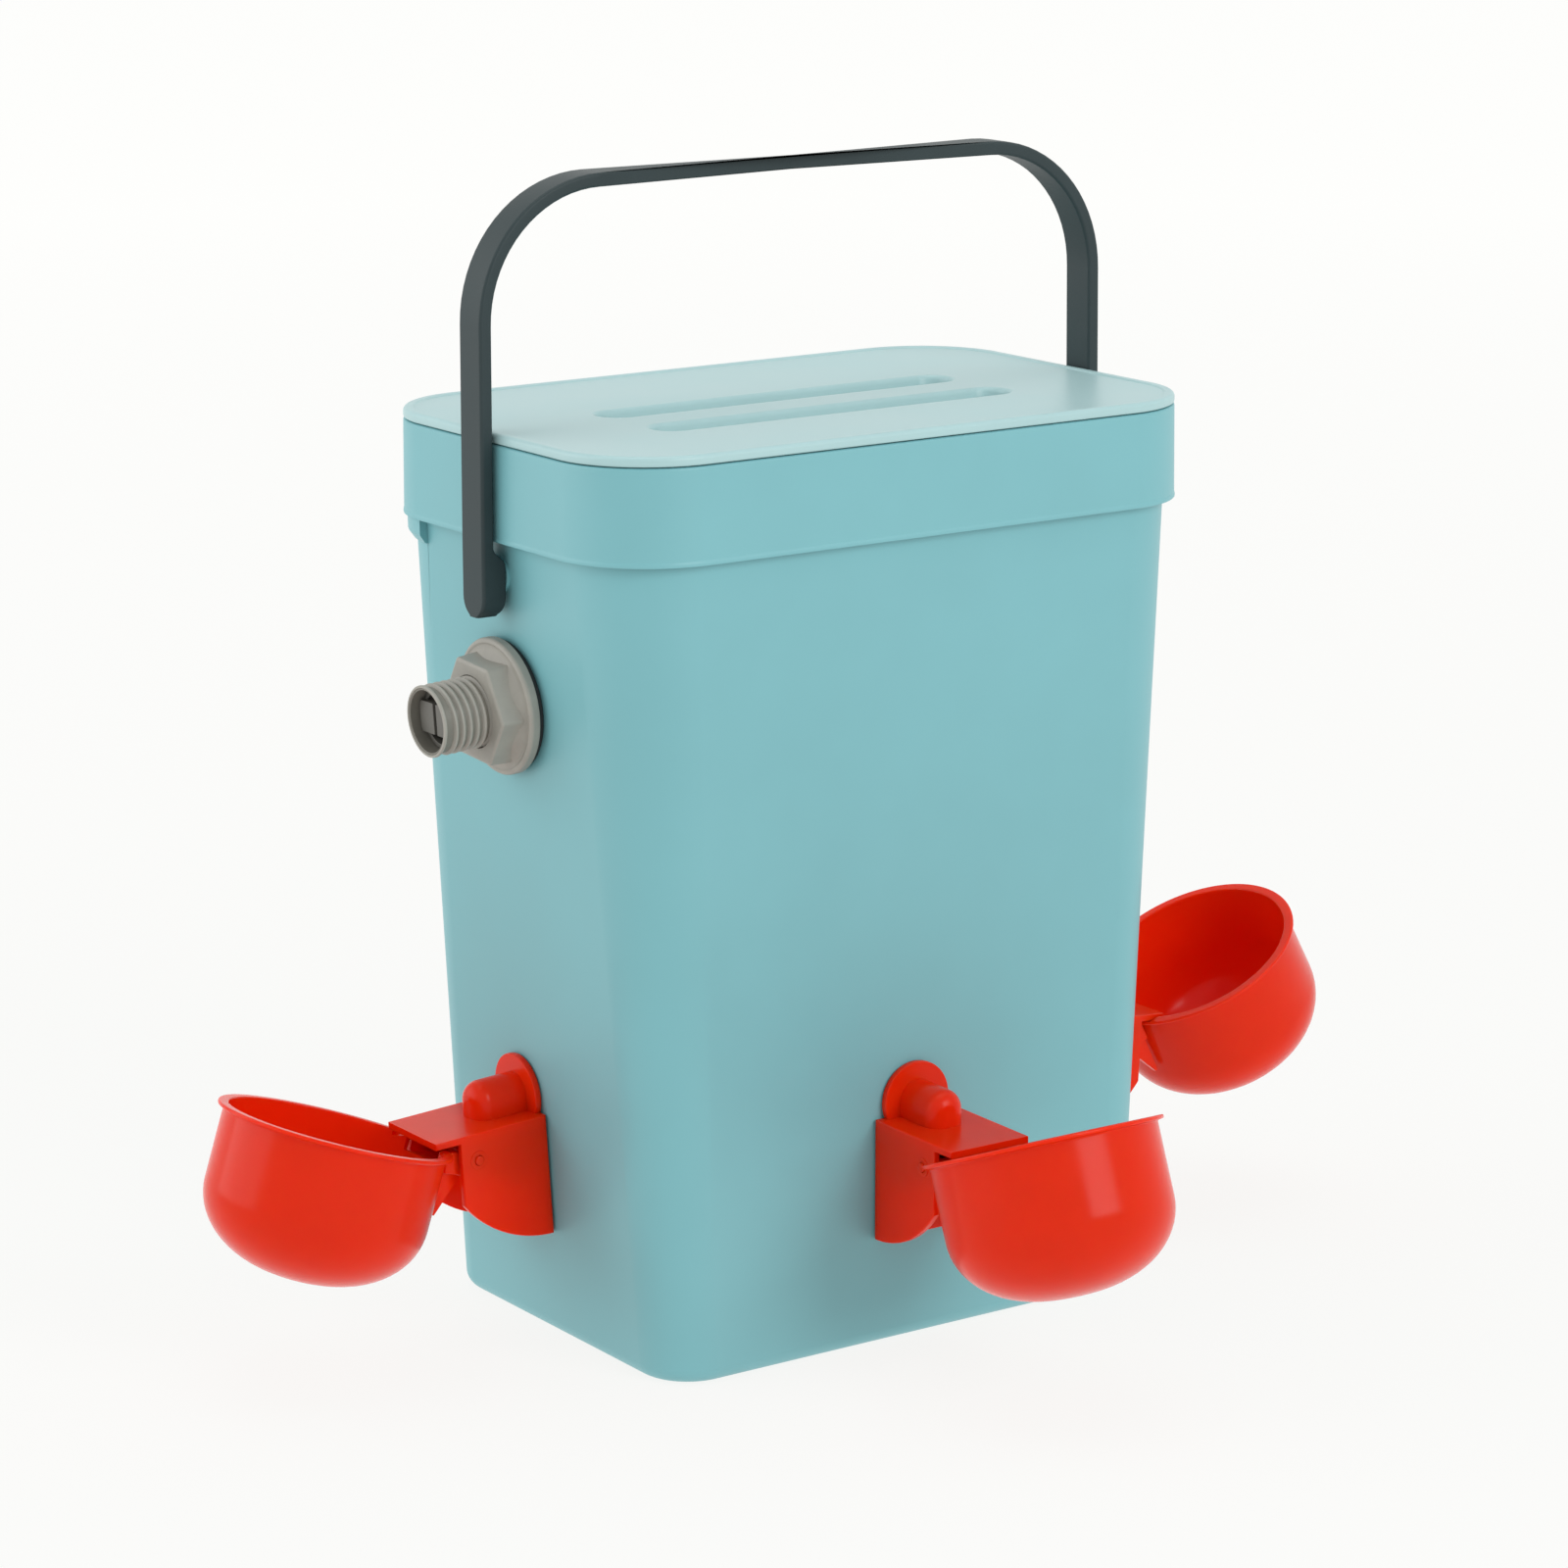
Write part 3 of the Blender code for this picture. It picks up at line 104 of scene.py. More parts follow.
class BucketSizes(bpy.types.PropertyGroup):
    base: outline("Base", "Half width, half depth and corner radius at the floor",
                  (0.0928, 0.0677, 0.0185))
    top: outline("Wall Top", "The same where the wall meets the collar's edge",
                 (0.1094, 0.0700, 0.0288))
    collar_bottom: length("Collar Bottom", "Height of the collar's lower edge", 0.260)
    seat: length("Seat", "Height of the rim that the lid rests on", 0.290)
    wall: length("Wall", "Thickness of the wall", 0.0022)
    floor: length("Floor", "Thickness of the base", 0.0028)
    base_edge: length("Base Edge", "Radius round the underside", 0.005)
    overhang: length("Collar Overhang", "How far the collar stands out from the wall", 0.0037)
    flare: length("Collar Flare", "How much wider the collar is at its lower edge", 0.0003)
    bead: length("Collar Bead", "How proud the bead on the lower edge is", 0.0002)
    collar_wall: length("Collar Wall", "Thickness of the collar", 0.002)
    rim_edge: length("Rim Edge", "Radius round the rim", 0.0008)
    rim: length("Rim", "Thickness of the web between wall and collar", 0.0028)
    ledge_drop: length("Ledge Drop", "How far the hanging ledge shows under the collar", 0.008)
    ledge_proud: length("Ledge Proud", "How far the ledge stands off the wall", 0.0028)
    pivot: length("Pivot", "Height of the handle's pegs", 0.249)
    boss: length("Boss", "Radius of the boss round a peg", 0.0058)
    steps: IntProperty(name="Corner Steps", description="Points round each corner", default=20, min=4)


class LidSizes(bpy.types.PropertyGroup):
    thickness: length("Thickness", "Thickness of the plate", 0.0032)
    edge: length("Edge", "Radius round the upper edge", 0.0014)
    border: length("Border", "Width of the raised border", 0.0032)
    border_step: length("Border Step", "How far the border stands up", 0.0005)
    plug: length("Plug", "Depth of the plug below the plate", 0.009)
    plug_gap: length("Plug Gap", "Clearance between the plug and the mouth", 0.0006)
    plug_wall: length("Plug Wall", "Thickness of the plug's wall", 0.0018)
    groove_length: length("Groove Length", "Length of a finger groove", 0.134)
    groove_width: length("Groove Width", "Width of a finger groove", 0.014)
    groove_depth: length("Groove Depth", "Depth of a finger groove", 0.007)
    groove_wall: length("Groove Wall", "Thickness round a groove", 0.0018)
    groove_rim: length("Groove Rim", "Radius round the top of a groove", 0.0016)
    groove_bend: length("Groove Bend", "Radius round the bottom of a groove", 0.0022)
    ridge: length("Grip Ridge", "Width of the ridge between the grooves", 0.017)
    forward: length("Grip Forward", "How far the grip lies in front of the middle", 0.0076)


class HandleSizes(bpy.types.PropertyGroup):
    rise: length("Rise", "Height of the bar above the pegs", 0.121)
    width: length("Width", "Width of the strap", 0.0126)
    thickness: length("Thickness", "Thickness of the strap", 0.0044)
    gap: length("Gap", "Room between a leg and the collar", 0.0009)
    lean: length("Lean", "How far each leg leans in at the bend", 0.0005)
    bend: length("Bend", "Radius of the upper bends", 0.044)
    soft: length("Soft Edge", "Radius of the strap's edges", 0.0012)
    boot: length("Boot", "Thickness of the leg at its peg", 0.0086)
    above: length("Above Peg", "How far the boot reaches above its peg", 0.009)
    below: length("Below Peg", "How far the boot reaches below its peg", 0.0125)
    toe: length("Toe", "How much thinner the boot is at its tip", 0.0016)
    taper: length("Taper", "Height over which the boot thins to the strap", 0.005)
    peg: length("Peg", "Radius of a peg", 0.004)
    snap: length("Snap Head", "How far the head stands out from its peg", 0.0016)


class InletSizes(bpy.types.PropertyGroup):
    height: length("Height", "Height of the inlet on the wall", 0.208)
    thread: length("Thread", "Outside radius of the thread", 0.0113)
    crest: length("Crest", "Height of the thread", 0.0009)
    pitch: length("Pitch", "Distance from crest to crest", 0.00255)
    reach: length("Reach", "How far the stem stands out of the wall", 0.030)
    bore: length("Bore", "Radius of the bore", 0.0098)
    flange: length("Flange", "Radius of the nut's flange", 0.0216)
    flange_thickness: length("Flange Thickness", "Thickness of the nut's flange", 0.0035)
    nut: length("Nut", "Radius over the corners of the hexagon", 0.0184)
    nut_turn: FloatProperty(name="Nut Turn", description="How far the hexagon is turned about the stem",
                            default=math.radians(-4.0), subtype="ANGLE")
    nut_length: length("Nut Length", "Length of the hexagon past its flange", 0.0076)
    mouth: length("Mouth", "Inside radius of the thin rim round the mouth", 0.0105)
    seal: length("Seal", "Thickness of the outer seal", 0.0016)
    seal_radius: length("Seal Radius", "Outside radius of the outer seal", 0.0205)
    chamber: length("Chamber", "Radius of the valve chamber inside", 0.0095)
    chamber_end: length("Chamber End", "Where the chamber ends inside the wall", 0.031)
    inner_flange: length("Inner Flange", "Radius of the flange inside the wall", 0.017)
    strainer_depth: length("Strainer Depth", "How far the strainer lies in the mouth", 0.0048)
    strainer_length: length("Strainer Length", "Length of the strainer's ring", 0.007)
    slot: length("Slot", "Width of the slot between the strainer's panels", 0.0015)
    panel_height: length("Panel Height", "Height of the panels", 0.010)
    panel_proud: length("Panel Proud", "How far the panels stand out of their ring", 0.0016)


class ValveSizes(bpy.types.PropertyGroup):
    orifice: length("Orifice", "Radius of the hole that the piston shuts", 0.0022)
    orifice_back: length("Orifice Back", "Where the orifice ends behind the wall", 0.012)
    washer: length("Washer", "Radius of the piston's rubber", 0.0042)
    washer_thickness: length("Washer Thickness", "Thickness of the piston's rubber", 0.002)
    piston: length("Piston", "Radius of the piston's head", 0.0055)
    head: length("Head", "Length of the piston's head", 0.010)
    stalk: length("Stalk", "Radius of the piston's stalk", 0.0034)
    pivot_back: length("Pivot Back", "Where the lever's pin lies behind the wall", 0.038)
    pivot_drop: length("Pivot Drop", "Where the pin lies below the stem's axis", 0.009)
    pin: length("Pin", "Radius of the pin", 0.0015)
    ear_inside: length("Ear Inside", "Where an ear starts beside the middle", 0.0061)
    ear_outside: length("Ear Outside", "Where an ear ends beside the middle", 0.0083)
    hub: length("Hub", "Radius of the lever's hub", 0.004)
    cam: length("Cam", "Radius of the lever's cam", 0.0025)
    cam_neck: length("Cam Neck", "Half width of the neck under the cam", 0.0014)
    cam_width: length("Cam Width", "Width of the cam along its pin", 0.0074)
    beam: length("Beam", "Half thickness of the lever", 0.0022)
    beam_length: length("Beam Length", "Length of the lever", 0.058)
    droop: FloatProperty(name="Droop", description="How far the lever hangs below its cam's line",
                         default=math.radians(10.0), subtype="ANGLE")
    float_radius: length("Float Radius", "Radius of the float", 0.021)
    float_length: length("Float Length", "Length of the float", 0.050)


class DrinkerSizes(bpy.types.PropertyGroup):
    height: length("Height", "Height of the stems on the wall", 0.080)
    left_back: length("Left Drinker", "How far behind the middle the left drinker sits", 0.0096)
    front_left: length("Front Drinker", "How far left of the middle the front drinker sits", 0.0018)
    right_forward: length("Right Drinker", "How far in front of the middle the right drinker sits", 0.0048)
    width: length("Bracket Width", "Width over the cheeks", 0.030)
    wall: length("Bracket Wall", "Thickness of the cheeks", 0.002)
    plate_reach: length("Plate Reach", "How far the plate stands out", 0.0410)
    plate_drop: length("Plate Drop", "Where the plate lies below the stem's axis", 0.0046)
    plate: length("Plate", "Thickness of the plate", 0.0022)
    cheek: length("Cheek", "Radius of the cheeks' lower edge", 0.0395)
    cheek_reach: length("Cheek Reach", "How far the cheeks stand out", 0.0322)
    disc: length("Disc", "Radius of the disc against the wall", 0.0123)
    disc_thickness: length("Disc Thickness", "Thickness of the disc", 0.0024)
    boss: length("Boss", "Radius of the water boss", 0.0067)
    boss_reach: length("Boss Reach", "How far the boss stands out", 0.0205)
    stem: length("Stem", "Radius of the stem through the wall", 0.0066)
    stem_length: length("Stem Length", "Length of the stem inside the wall", 0.015)
    nozzle_reach: length("Nozzle Reach", "Where the nozzle lies out from the wall", 0.0155)
    nozzle_tip: length("Nozzle Tip", "Where the nozzle ends below the stem's axis", 0.0104)
    pin_reach: length("Pin Reach", "Where the hinge pin lies out from the wall", 0.0262)
    pin_drop: length("Pin Drop", "Where the hinge pin lies below the stem's axis", 0.0133)
    pin: length("Pin", "Radius of the hinge pin", 0.0015)


class CupSizes(bpy.types.PropertyGroup):
    radius: length("Radius", "Outside radius of the bowl", 0.0355)
    wall: length("Wall", "Thickness of the bowl", 0.0013)
    lip: length("Lip", "How far the lip stands out", 0.002)
    lip_height: length("Lip Height", "Height of the lip", 0.0012)
    depth: length("Depth", "Depth of the bowl", 0.0485)
    straight: length("Straight", "Height of the bowl's upper wall", 0.0245)
    pin_gap: length("Pin Gap", "Room between the pin and the lip", 0.007)
    rim_above: length("Rim Above Pin", "Height of the rim's plane above the pin", 0.0005)
    closed_tilt: FloatProperty(name="Closed Tilt", description="Tilt of the rim with the valve shut",
                               default=math.radians(3.0), subtype="ANGLE")
    trough_width: length("Trough Width", "Width over the trough", 0.024)
    trough_floor: length("Trough Floor", "Underside of the trough below the pin", 0.006)
    tail: length("Tail", "How far the trough reaches behind the pin", 0.01935)
    tail_height: length("Tail Height", "Height of the trough's walls above the pin", 0.0042)
    pad: length("Pad", "Radius of the pad that shuts the nozzle", 0.0035)
    pad_thickness: length("Pad Thickness", "Thickness of the pad", 0.002)
    segments: IntProperty(name="Segments", description="Faces round the bowl", default=96, min=16)


class Finishes(bpy.types.PropertyGroup):
    bucket: colour("Bucket", "Moulded polypropylene of the bucket", "78B4BA")
    lid: colour("Lid", "Moulded polypropylene of the lid", "A9CACB")
    handle: colour("Handle", "Polypropylene of the handle", "2F3B3D")
    fitting: colour("Fitting", "Nylon of the inlet", "9D9A91")
    # Painted shade: the stem's nylon made darker for the shade in its thread's valleys and its bore
    valley: colour("Valley", "Nylon of the stem under its thread", "77746B")
    # Painted shade: the strainer's nylon made darker for the shade deep in the mouth
    strainer: colour("Strainer", "Nylon of the strainer in the inlet", "63615B")
    cup: colour("Cup", "Glossy plastic of the drinkers", "E42A06")
    rubber: colour("Rubber", "Seals and pads", "232527")
    valve: colour("Valve", "Plastic of the float and its lever", "E6E7E2")
    steel: colour("Steel", "Pin and springs", "B9BBBC")


class StageSettings(bpy.types.PropertyGroup):
    azimuth: FloatProperty(name="Azimuth", description="Where the camera stands round the bucket",
                           default=math.radians(-34.5), subtype="ANGLE")
    elevation: FloatProperty(name="Elevation", description="How high the camera looks from",
                             default=math.radians(13.43), subtype="ANGLE")
    roll: FloatProperty(name="Roll", description="Turn of the camera about its own axis",
                        default=math.radians(-0.2), subtype="ANGLE")
    distance: length("Distance", "From the camera to the point it looks at", 1.6065)
    target: FloatVectorProperty(name="Target", description="The point that the camera looks at",
                                default=(-0.0014, 0.00293, 0.16743), size=3, unit="LENGTH")
    lens: FloatProperty(name="Lens", description="Focal length in millimetres on a 36 mm sensor",
                        default=114.41, min=1.0)
    background: colour("Background", "Floor and backdrop as the camera sees them", "FAFAF8")


# Shapes

def softened(points, radius, closed=False, steps=3):
    """Round the corners of a row of (x, y) points, but not bends that are nearly straight."""
    most_of_a_side = 0.45
    least_bend = math.radians(12)
    points = [Vector(point) for point in points]
    count = len(points)
    result = []
    for i, point in enumerate(points):
        if not closed and i in (0, count - 1):
            result.append(point[:])
            continue
        back, ahead = points[i - 1] - point, points[(i + 1) % count] - point
        reach = min(radius, back.length * most_of_a_side, ahead.length * most_of_a_side)
        if back.angle(-ahead, 0.0) < least_bend or reach <= 0.0:
            result.append(point[:])
            continue
        start = point + back.normalized() * reach
        end = point + ahead.normalized() * reach
        for step in range(steps + 1):
            share = step / steps
            spot = start * (1 - share) ** 2 + point * 2 * share * (1 - share) + end * share ** 2
            result.append(spot[:])
    return result


def arc(centre_x, centre_y, radius, first, last, steps):
    """Points on an arc, in degrees, first to last."""
    angles = [math.radians(first + (last - first) * step / steps) for step in range(steps + 1)]
    return [(centre_x + radius * math.cos(angle), centre_y + radius * math.sin(angle))
            for angle in angles]


def turned(profile, segments=64, place=Matrix(), soft=0.0):
    """Spin (radius, height) points about local Z; a profile off the axis is a closed loop."""
    closed = profile[0][0] > 0
    profile = softened(profile, soft, closed) if soft else profile
    bm = bmesh.new()
    verts = [bm.verts.new((radius, 0, height)) for radius, height in profile]
    pairs = list(zip(verts, verts[1:]))
    if closed:
        pairs.append((verts[-1], verts[0]))
    edges = [bm.edges.new(pair) for pair in pairs]
    bmesh.ops.spin(bm, geom=verts + edges, cent=(0, 0, 0), axis=(0, 0, 1), angle=math.tau,
                   steps=segments, use_merge=True, use_duplicate=False)
    bmesh.ops.remove_doubles(bm, verts=bm.verts, dist=0.001 * MM)
    bmesh.ops.transform(bm, matrix=place, verts=bm.verts)
    return closed_solid(bm)


def closed_solid(bm):
    """Point the faces out."""
    bmesh.ops.recalc_face_normals(bm, faces=bm.faces)
    return bm


def round_off(bm, edges, radius, segments):
    """Round some edges."""
    bmesh.ops.bevel(bm, geom=edges, offset=radius, segments=segments, profile=0.5, affect="EDGES",
                    material=-1)


def rod(radius, low, high, place=Matrix(), segments=40, soft=0.0):
    """A cylinder along local Z."""
    return turned([(0, low), (radius, low), (radius, high), (0, high)], segments, place, soft)


def ring(inner, outer, low, high, place, segments, soft):
    """A flat ring about local Z."""
    return turned([(inner, low), (outer, low), (outer, high), (inner, high)], segments, place, soft)


def prism(points, low, high, place=Matrix(), bevel=0.0, segments=3):
    """Extrude (x, z) points along Y from low to high and round the rims."""
    bm = bmesh.new()
    face = bm.faces.new([bm.verts.new((x, low, z)) for x, z in points])
    drawn = bmesh.ops.extrude_face_region(bm, geom=[face])["geom"]
    moved = [item for item in drawn if isinstance(item, bmesh.types.BMVert)]
    bmesh.ops.translate(bm, verts=moved, vec=(0, high - low, 0))
    if bevel:
        rims = [edge for edge in bm.edges if abs(edge.verts[0].co.y - edge.verts[1].co.y) < 0.01 * MM]
        round_off(bm, rims, bevel, segments)
    bmesh.ops.transform(bm, matrix=place, verts=bm.verts)
    return closed_solid(bm)


def block(low, high, place=Matrix(), bevel=0.0):
    """A box between two corners, with round edges."""
    bm = bmesh.new()
    bmesh.ops.create_cube(bm, size=1)
    size = Vector(high) - Vector(low)
    middle = (Vector(high) + Vector(low)) / 2
    stretch = Matrix.Translation(middle) @ Matrix.Diagonal((*size, 1))
    bmesh.ops.transform(bm, matrix=stretch, verts=bm.verts)
    if bevel:
        round_off(bm, bm.edges[:], bevel, 2)
    bmesh.ops.transform(bm, matrix=place, verts=bm.verts)
    return closed_solid(bm)


def stacked(stations, corner_steps=8, first=0.0, last=math.tau):
    """Extrude a ring from station to station; each is a rounded rectangle's outline and its place."""
    whole = last - first > math.radians(359)
    bm = bmesh.new()
    bmesh.ops.create_circle(bm, cap_ends=False, segments=4 * corner_steps, radius=1.0)
    half_step = math.radians(45) / corner_steps
    bmesh.ops.rotate(bm, verts=bm.verts, cent=(0, 0, 0), matrix=Matrix.Rotation(half_step, 3, "Z"))
    if not whole:
        unused = [vert for vert in bm.verts
                  if not first < math.atan2(vert.co.y, vert.co.x) % math.tau < last]
        bmesh.ops.delete(bm, geom=unused, context="VERTS")
    corner = bm.verts.layers.float_vector.new("corner_direction")
    for vert in bm.verts:
        vert[corner] = vert.co
    verts, edges = list(bm.verts), list(bm.edges)
    levels = []
    for index, (shape, place) in enumerate(stations):
        if index:
            drawn = bmesh.ops.extrude_edge_only(bm, edges=edges)["geom"]
            verts = [item for item in drawn if isinstance(item, bmesh.types.BMVert)]
            members = set(verts)
            edges = [item for item in drawn if isinstance(item, bmesh.types.BMEdge)
                     and item.verts[0] in members and item.verts[1] in members]
        half_x, half_y, radius = shape
        for vert in verts:
            away = vert[corner]
            vert.co = place @ Vector((math.copysign(half_x - radius, away.x) + radius * away.x,
                                      math.copysign(half_y - radius, away.y) + radius * away.y, 0))
        levels.append(edges)
    if whole:
        for end in (levels[0], levels[-1]):
            bmesh.ops.contextual_create(bm, geom=end)
    else:
        bmesh.ops.bridge_loops(bm, edges=levels[0] + levels[-1])
        bmesh.ops.holes_fill(bm, edges=[edge for edge in bm.edges if edge.is_boundary], sides=0)
    return closed_solid(bm)


def at(x, y, z):
    """A shift."""
    return Matrix.Translation((x, y, z))


def combined(solid, added=(), removed=(), shared=()):
    """Join, cut or intersect closed shapes and return the result."""
    scene = bpy.context.scene

    def temporary(bm, name):
        mesh = bpy.data.meshes.new(name)
        bm.to_mesh(mesh)
        bm.free()
        obj = bpy.data.objects.new(name, mesh)
        scene.collection.objects.link(obj)
        return obj

    target = temporary(solid, "shape")
    tools = []
    for operation, shapes in (("INTERSECT", shared), ("UNION", added), ("DIFFERENCE", removed)):
        for bm in shapes:
            tool = temporary(bm, "tool")
            modifier = target.modifiers.new(operation, "BOOLEAN")
            modifier.operation = operation
            modifier.solver = "EXACT"
            modifier.object = tool
            tools.append(tool)
    mesh = bpy.data.meshes.new_from_object(target.evaluated_get(bpy.context.evaluated_depsgraph_get()))
    result = bmesh.new()
    result.from_mesh(mesh)
    bpy.data.meshes.remove(mesh)
    for obj in tools + [target]:
        data = obj.data
        bpy.data.objects.remove(obj)
        bpy.data.meshes.remove(data)
    bmesh.ops.remove_doubles(result, verts=result.verts, dist=0.002 * MM)
    bmesh.ops.dissolve_degenerate(result, edges=result.edges, dist=0.002 * MM)
    return result


def copy_of(bm, place=Matrix()):
    """The same shape in another place."""
    twin = bm.copy()
    bmesh.ops.transform(twin, matrix=place, verts=twin.verts)
    return twin


# Outlines and places

def grown(shape, offset):
    """An outline made wider by an offset all round."""
    return tuple(size + offset for size in shape)


def wall_outline(sizes, height, offset=0.0):
    """The wall's outline at a height: tapered, and upright inside the collar."""
    share = min(height / sizes.collar_bottom, 1.0)
    return tuple(base + (top - base) * share + offset for base, top in zip(sizes.base, sizes.top))


def collar_outline(sizes, height, offset=0.0):
    """The collar's outline at a height."""
    flare = sizes.flare * (height - sizes.collar_bottom) / (sizes.seat - sizes.collar_bottom)
    return tuple(size + sizes.overhang - flare + offset for size in sizes.top)


def rings(sizes, rows, first=0.0, last=math.tau):
    """Stack the bucket's outlines; a row is an outline's function and its (offset, height) points."""
    stations = [(outline_at(sizes, height, offset), at(0, 0, height))
                for outline_at, points in rows for offset, height in points]
    return stacked(stations, sizes.steps, first, last)


def wall_side(azimuth):
    """Which of an outline's half sizes lies across the wall on that side."""
    return 1 if azimuth == 270 else 0


def wall_lean(sizes, azimuth):
    """How far the wall on that side leans out."""
    side = wall_side(azimuth)
    return math.atan2(sizes.top[side] - sizes.base[side], sizes.collar_bottom)


def wall_place(sizes, azimuth, height, across=0.0):
    """Frame on the outside of a wall: local X points out of it and local Z up along it."""
    distance = wall_outline(sizes, height)[wall_side(azimuth)]
    return (Matrix.Rotation(math.radians(azimuth), 4, "Z") @ at(distance, across, height)
            @ Matrix.Rotation(wall_lean(sizes, azimuth), 4, "Y"))


def wall_inside(sizes, azimuth):
    """Where a fitting meets the inside of a wall, along local X of the wall's frame."""
    return -sizes.wall * math.cos(wall_lean(sizes, azimuth)) - SEAT_GAP


def drinker_shift(d, name):
    """How far a drinker sits along its wall from the middle, in the wall's own frame."""
    return {"left": -d.left_back, "front": -d.front_left, "right": -d.right_forward}[name]


def handle_inside(bucket, handle):
    """Where the inner face of a leg lies."""
    return bucket.top[0] + bucket.overhang + bucket.bead + handle.gap


def peg_place(bucket, side):
    """Frame of the handle's peg on one side: local Z points out of the bucket."""
    return at(0, 0, bucket.pivot) @ Matrix.Scale(side, 4, (1, 0, 0)) @ ALONG_X


# Finishes

def add_node(tree, kind, settings=None, inputs=None):
    """Add a node; an input is a value or the socket that feeds it."""
    made = tree.nodes.new(kind)
    for key, value in (settings or {}).items():
        setattr(made, key, value)
    for key, value in (inputs or {}).items():
        if isinstance(value, bpy.types.NodeSocket):
            tree.links.new(value, made.inputs[key])
        else:
            made.inputs[key].default_value = value
    return made


def new_finish(name):
    """An empty material, its tree and its object coordinates."""
    material = bpy.data.materials.get(name) or bpy.data.materials.new(name)
    material.use_nodes = True
    tree = material.node_tree
    tree.nodes.clear()
    return material, tree, add_node(tree, "ShaderNodeTexCoord").outputs["Object"]


def moulded_plastic(name, tint, roughness, cloud, grain, tooth, contrast=0.035, specular=0.5, glow=0.0):
    """Injection moulded plastic: cloudy in its colour, with the fine tooth of the mould."""
    material, tree, place = new_finish(name)
    clouds = add_node(tree, "ShaderNodeTexNoise", inputs={
        "Vector": place, "Scale": 1 / cloud, "Detail": 3.0, "Roughness": 0.55})
    thin, thick = 0.3, 0.7
    shade = add_node(tree, "ShaderNodeValToRGB", inputs={"Fac": clouds.outputs["Fac"]})
    darker, lighter = shade.color_ramp.elements
    darker.position, lighter.position = thin, thick
    darker.color = (*(channel * (1 - contrast) for channel in tint), 1)
    lighter.color = (*(min(channel * (1 + contrast), 1.0) for channel in tint), 1)
    spread = 0.04
    gloss = add_node(tree, "ShaderNodeMapRange", inputs={
        "Value": clouds.outputs["Fac"], "From Min": thin, "From Max": thick,
        "To Min": roughness - spread, "To Max": roughness + spread})
    mould = add_node(tree, "ShaderNodeTexNoise", inputs={"Vector": place, "Scale": 1 / grain, "Detail": 2.0})
    bump = add_node(tree, "ShaderNodeBump", inputs={
        "Height": mould.outputs["Fac"], "Distance": tooth, "Strength": 1.0})
    inputs = {"Base Color": shade.outputs["Color"], "Roughness": gloss.outputs["Result"],
              "Normal": bump.outputs["Normal"], "IOR": 1.49, "Specular IOR Level": specular}
    if glow:
        inputs.update({"Subsurface Weight": glow, "Subsurface Radius": (1.0, 0.12, 0.04),
                       "Subsurface Scale": 9 * MM})
    shader = add_node(tree, "ShaderNodeBsdfPrincipled", inputs=inputs)
    add_node(tree, "ShaderNodeOutputMaterial", inputs={"Surface": shader.outputs["BSDF"]})
    return material


def drawn_steel(name, tint):
    """Drawn stainless wire: bright, with fine drawing lines that break up its highlights."""
    material, tree, place = new_finish(name)
    wide = 0.5 * MM
    lines = add_node(tree, "ShaderNodeTexNoise", inputs={"Vector": place, "Scale": 1 / wide, "Detail": 3.0})
    gloss = add_node(tree, "ShaderNodeMapRange", inputs={
        "Value": lines.outputs["Fac"], "To Min": 0.18, "To Max": 0.42})
    shade = add_node(tree, "ShaderNodeValToRGB", inputs={"Fac": lines.outputs["Fac"]})
    darker, lighter = shade.color_ramp.elements
    darker.color = (*(channel * 0.85 for channel in tint), 1)
    lighter.color = (*tint, 1)
    shader = add_node(tree, "ShaderNodeBsdfPrincipled", inputs={
        "Base Color": shade.outputs["Color"], "Roughness": gloss.outputs["Result"], "Metallic": 1.0})
    add_node(tree, "ShaderNodeOutputMaterial", inputs={"Surface": shader.outputs["BSDF"]})
    return material


NYLON = dict(roughness=0.5, cloud=6 * MM, grain=0.5 * MM, tooth=0.01 * MM, contrast=0.06)
PLASTICS = {
    # Polypropylene with a fine spark-eroded mould face: satin, slightly waxy
    "teal_polypropylene": dict(name="satin_teal_polypropylene", tint="bucket", roughness=0.42, cloud=45 * MM,
                               grain=0.9 * MM, tooth=0.006 * MM, contrast=0.02),
    # The same plastic in a paler mix, a little smoother
    "pale_teal_polypropylene": dict(name="satin_pale_polypropylene", tint="lid", roughness=0.38,
                                    cloud=40 * MM, grain=0.9 * MM, tooth=0.005 * MM, contrast=0.02),
    # Dark polypropylene with a coarser tooth for grip
    "dark_grey_polypropylene": dict(name="grained_grey_polypropylene", tint="handle", roughness=0.46,
                                    cloud=20 * MM, grain=0.7 * MM, tooth=0.012 * MM, contrast=0.06,
                                    specular=0.25),
    # Glass-filled nylon: dry, with short flow streaks
    "warm_grey_plastic": dict(NYLON, name="dry_grey_nylon", tint="fitting"),
    # The same nylon, made darker as painted shade in the thread's valleys and in the mouth
    "shaded_grey": dict(NYLON, name="shaded_grey_nylon", tint="valley"),
    "painted_shade_strainer_grey": dict(NYLON, name="dark_grey_nylon", tint="strainer", roughness=0.45),
    # Polished ABS: clear highlights, faint flow marks, and light that scatters a little way in
    "red_plastic": dict(name="polished_red_abs", tint="cup", roughness=0.2, cloud=18 * MM, grain=4 * MM,
                        tooth=0.006 * MM, contrast=0.03, specular=0.15, glow=0.6),
    # Moulded rubber: dull and soft edged
    "black_rubber": dict(name="dull_black_rubber", tint="rubber", roughness=0.75, cloud=6 * MM,
                         grain=0.6 * MM, tooth=0.03 * MM, contrast=0.1),
    # Natural acetal: milky and smooth
    "white_plastic": dict(name="milky_white_acetal", tint="valve", roughness=0.36, cloud=20 * MM,
                          grain=0.8 * MM, tooth=0.006 * MM, contrast=0.02),
}


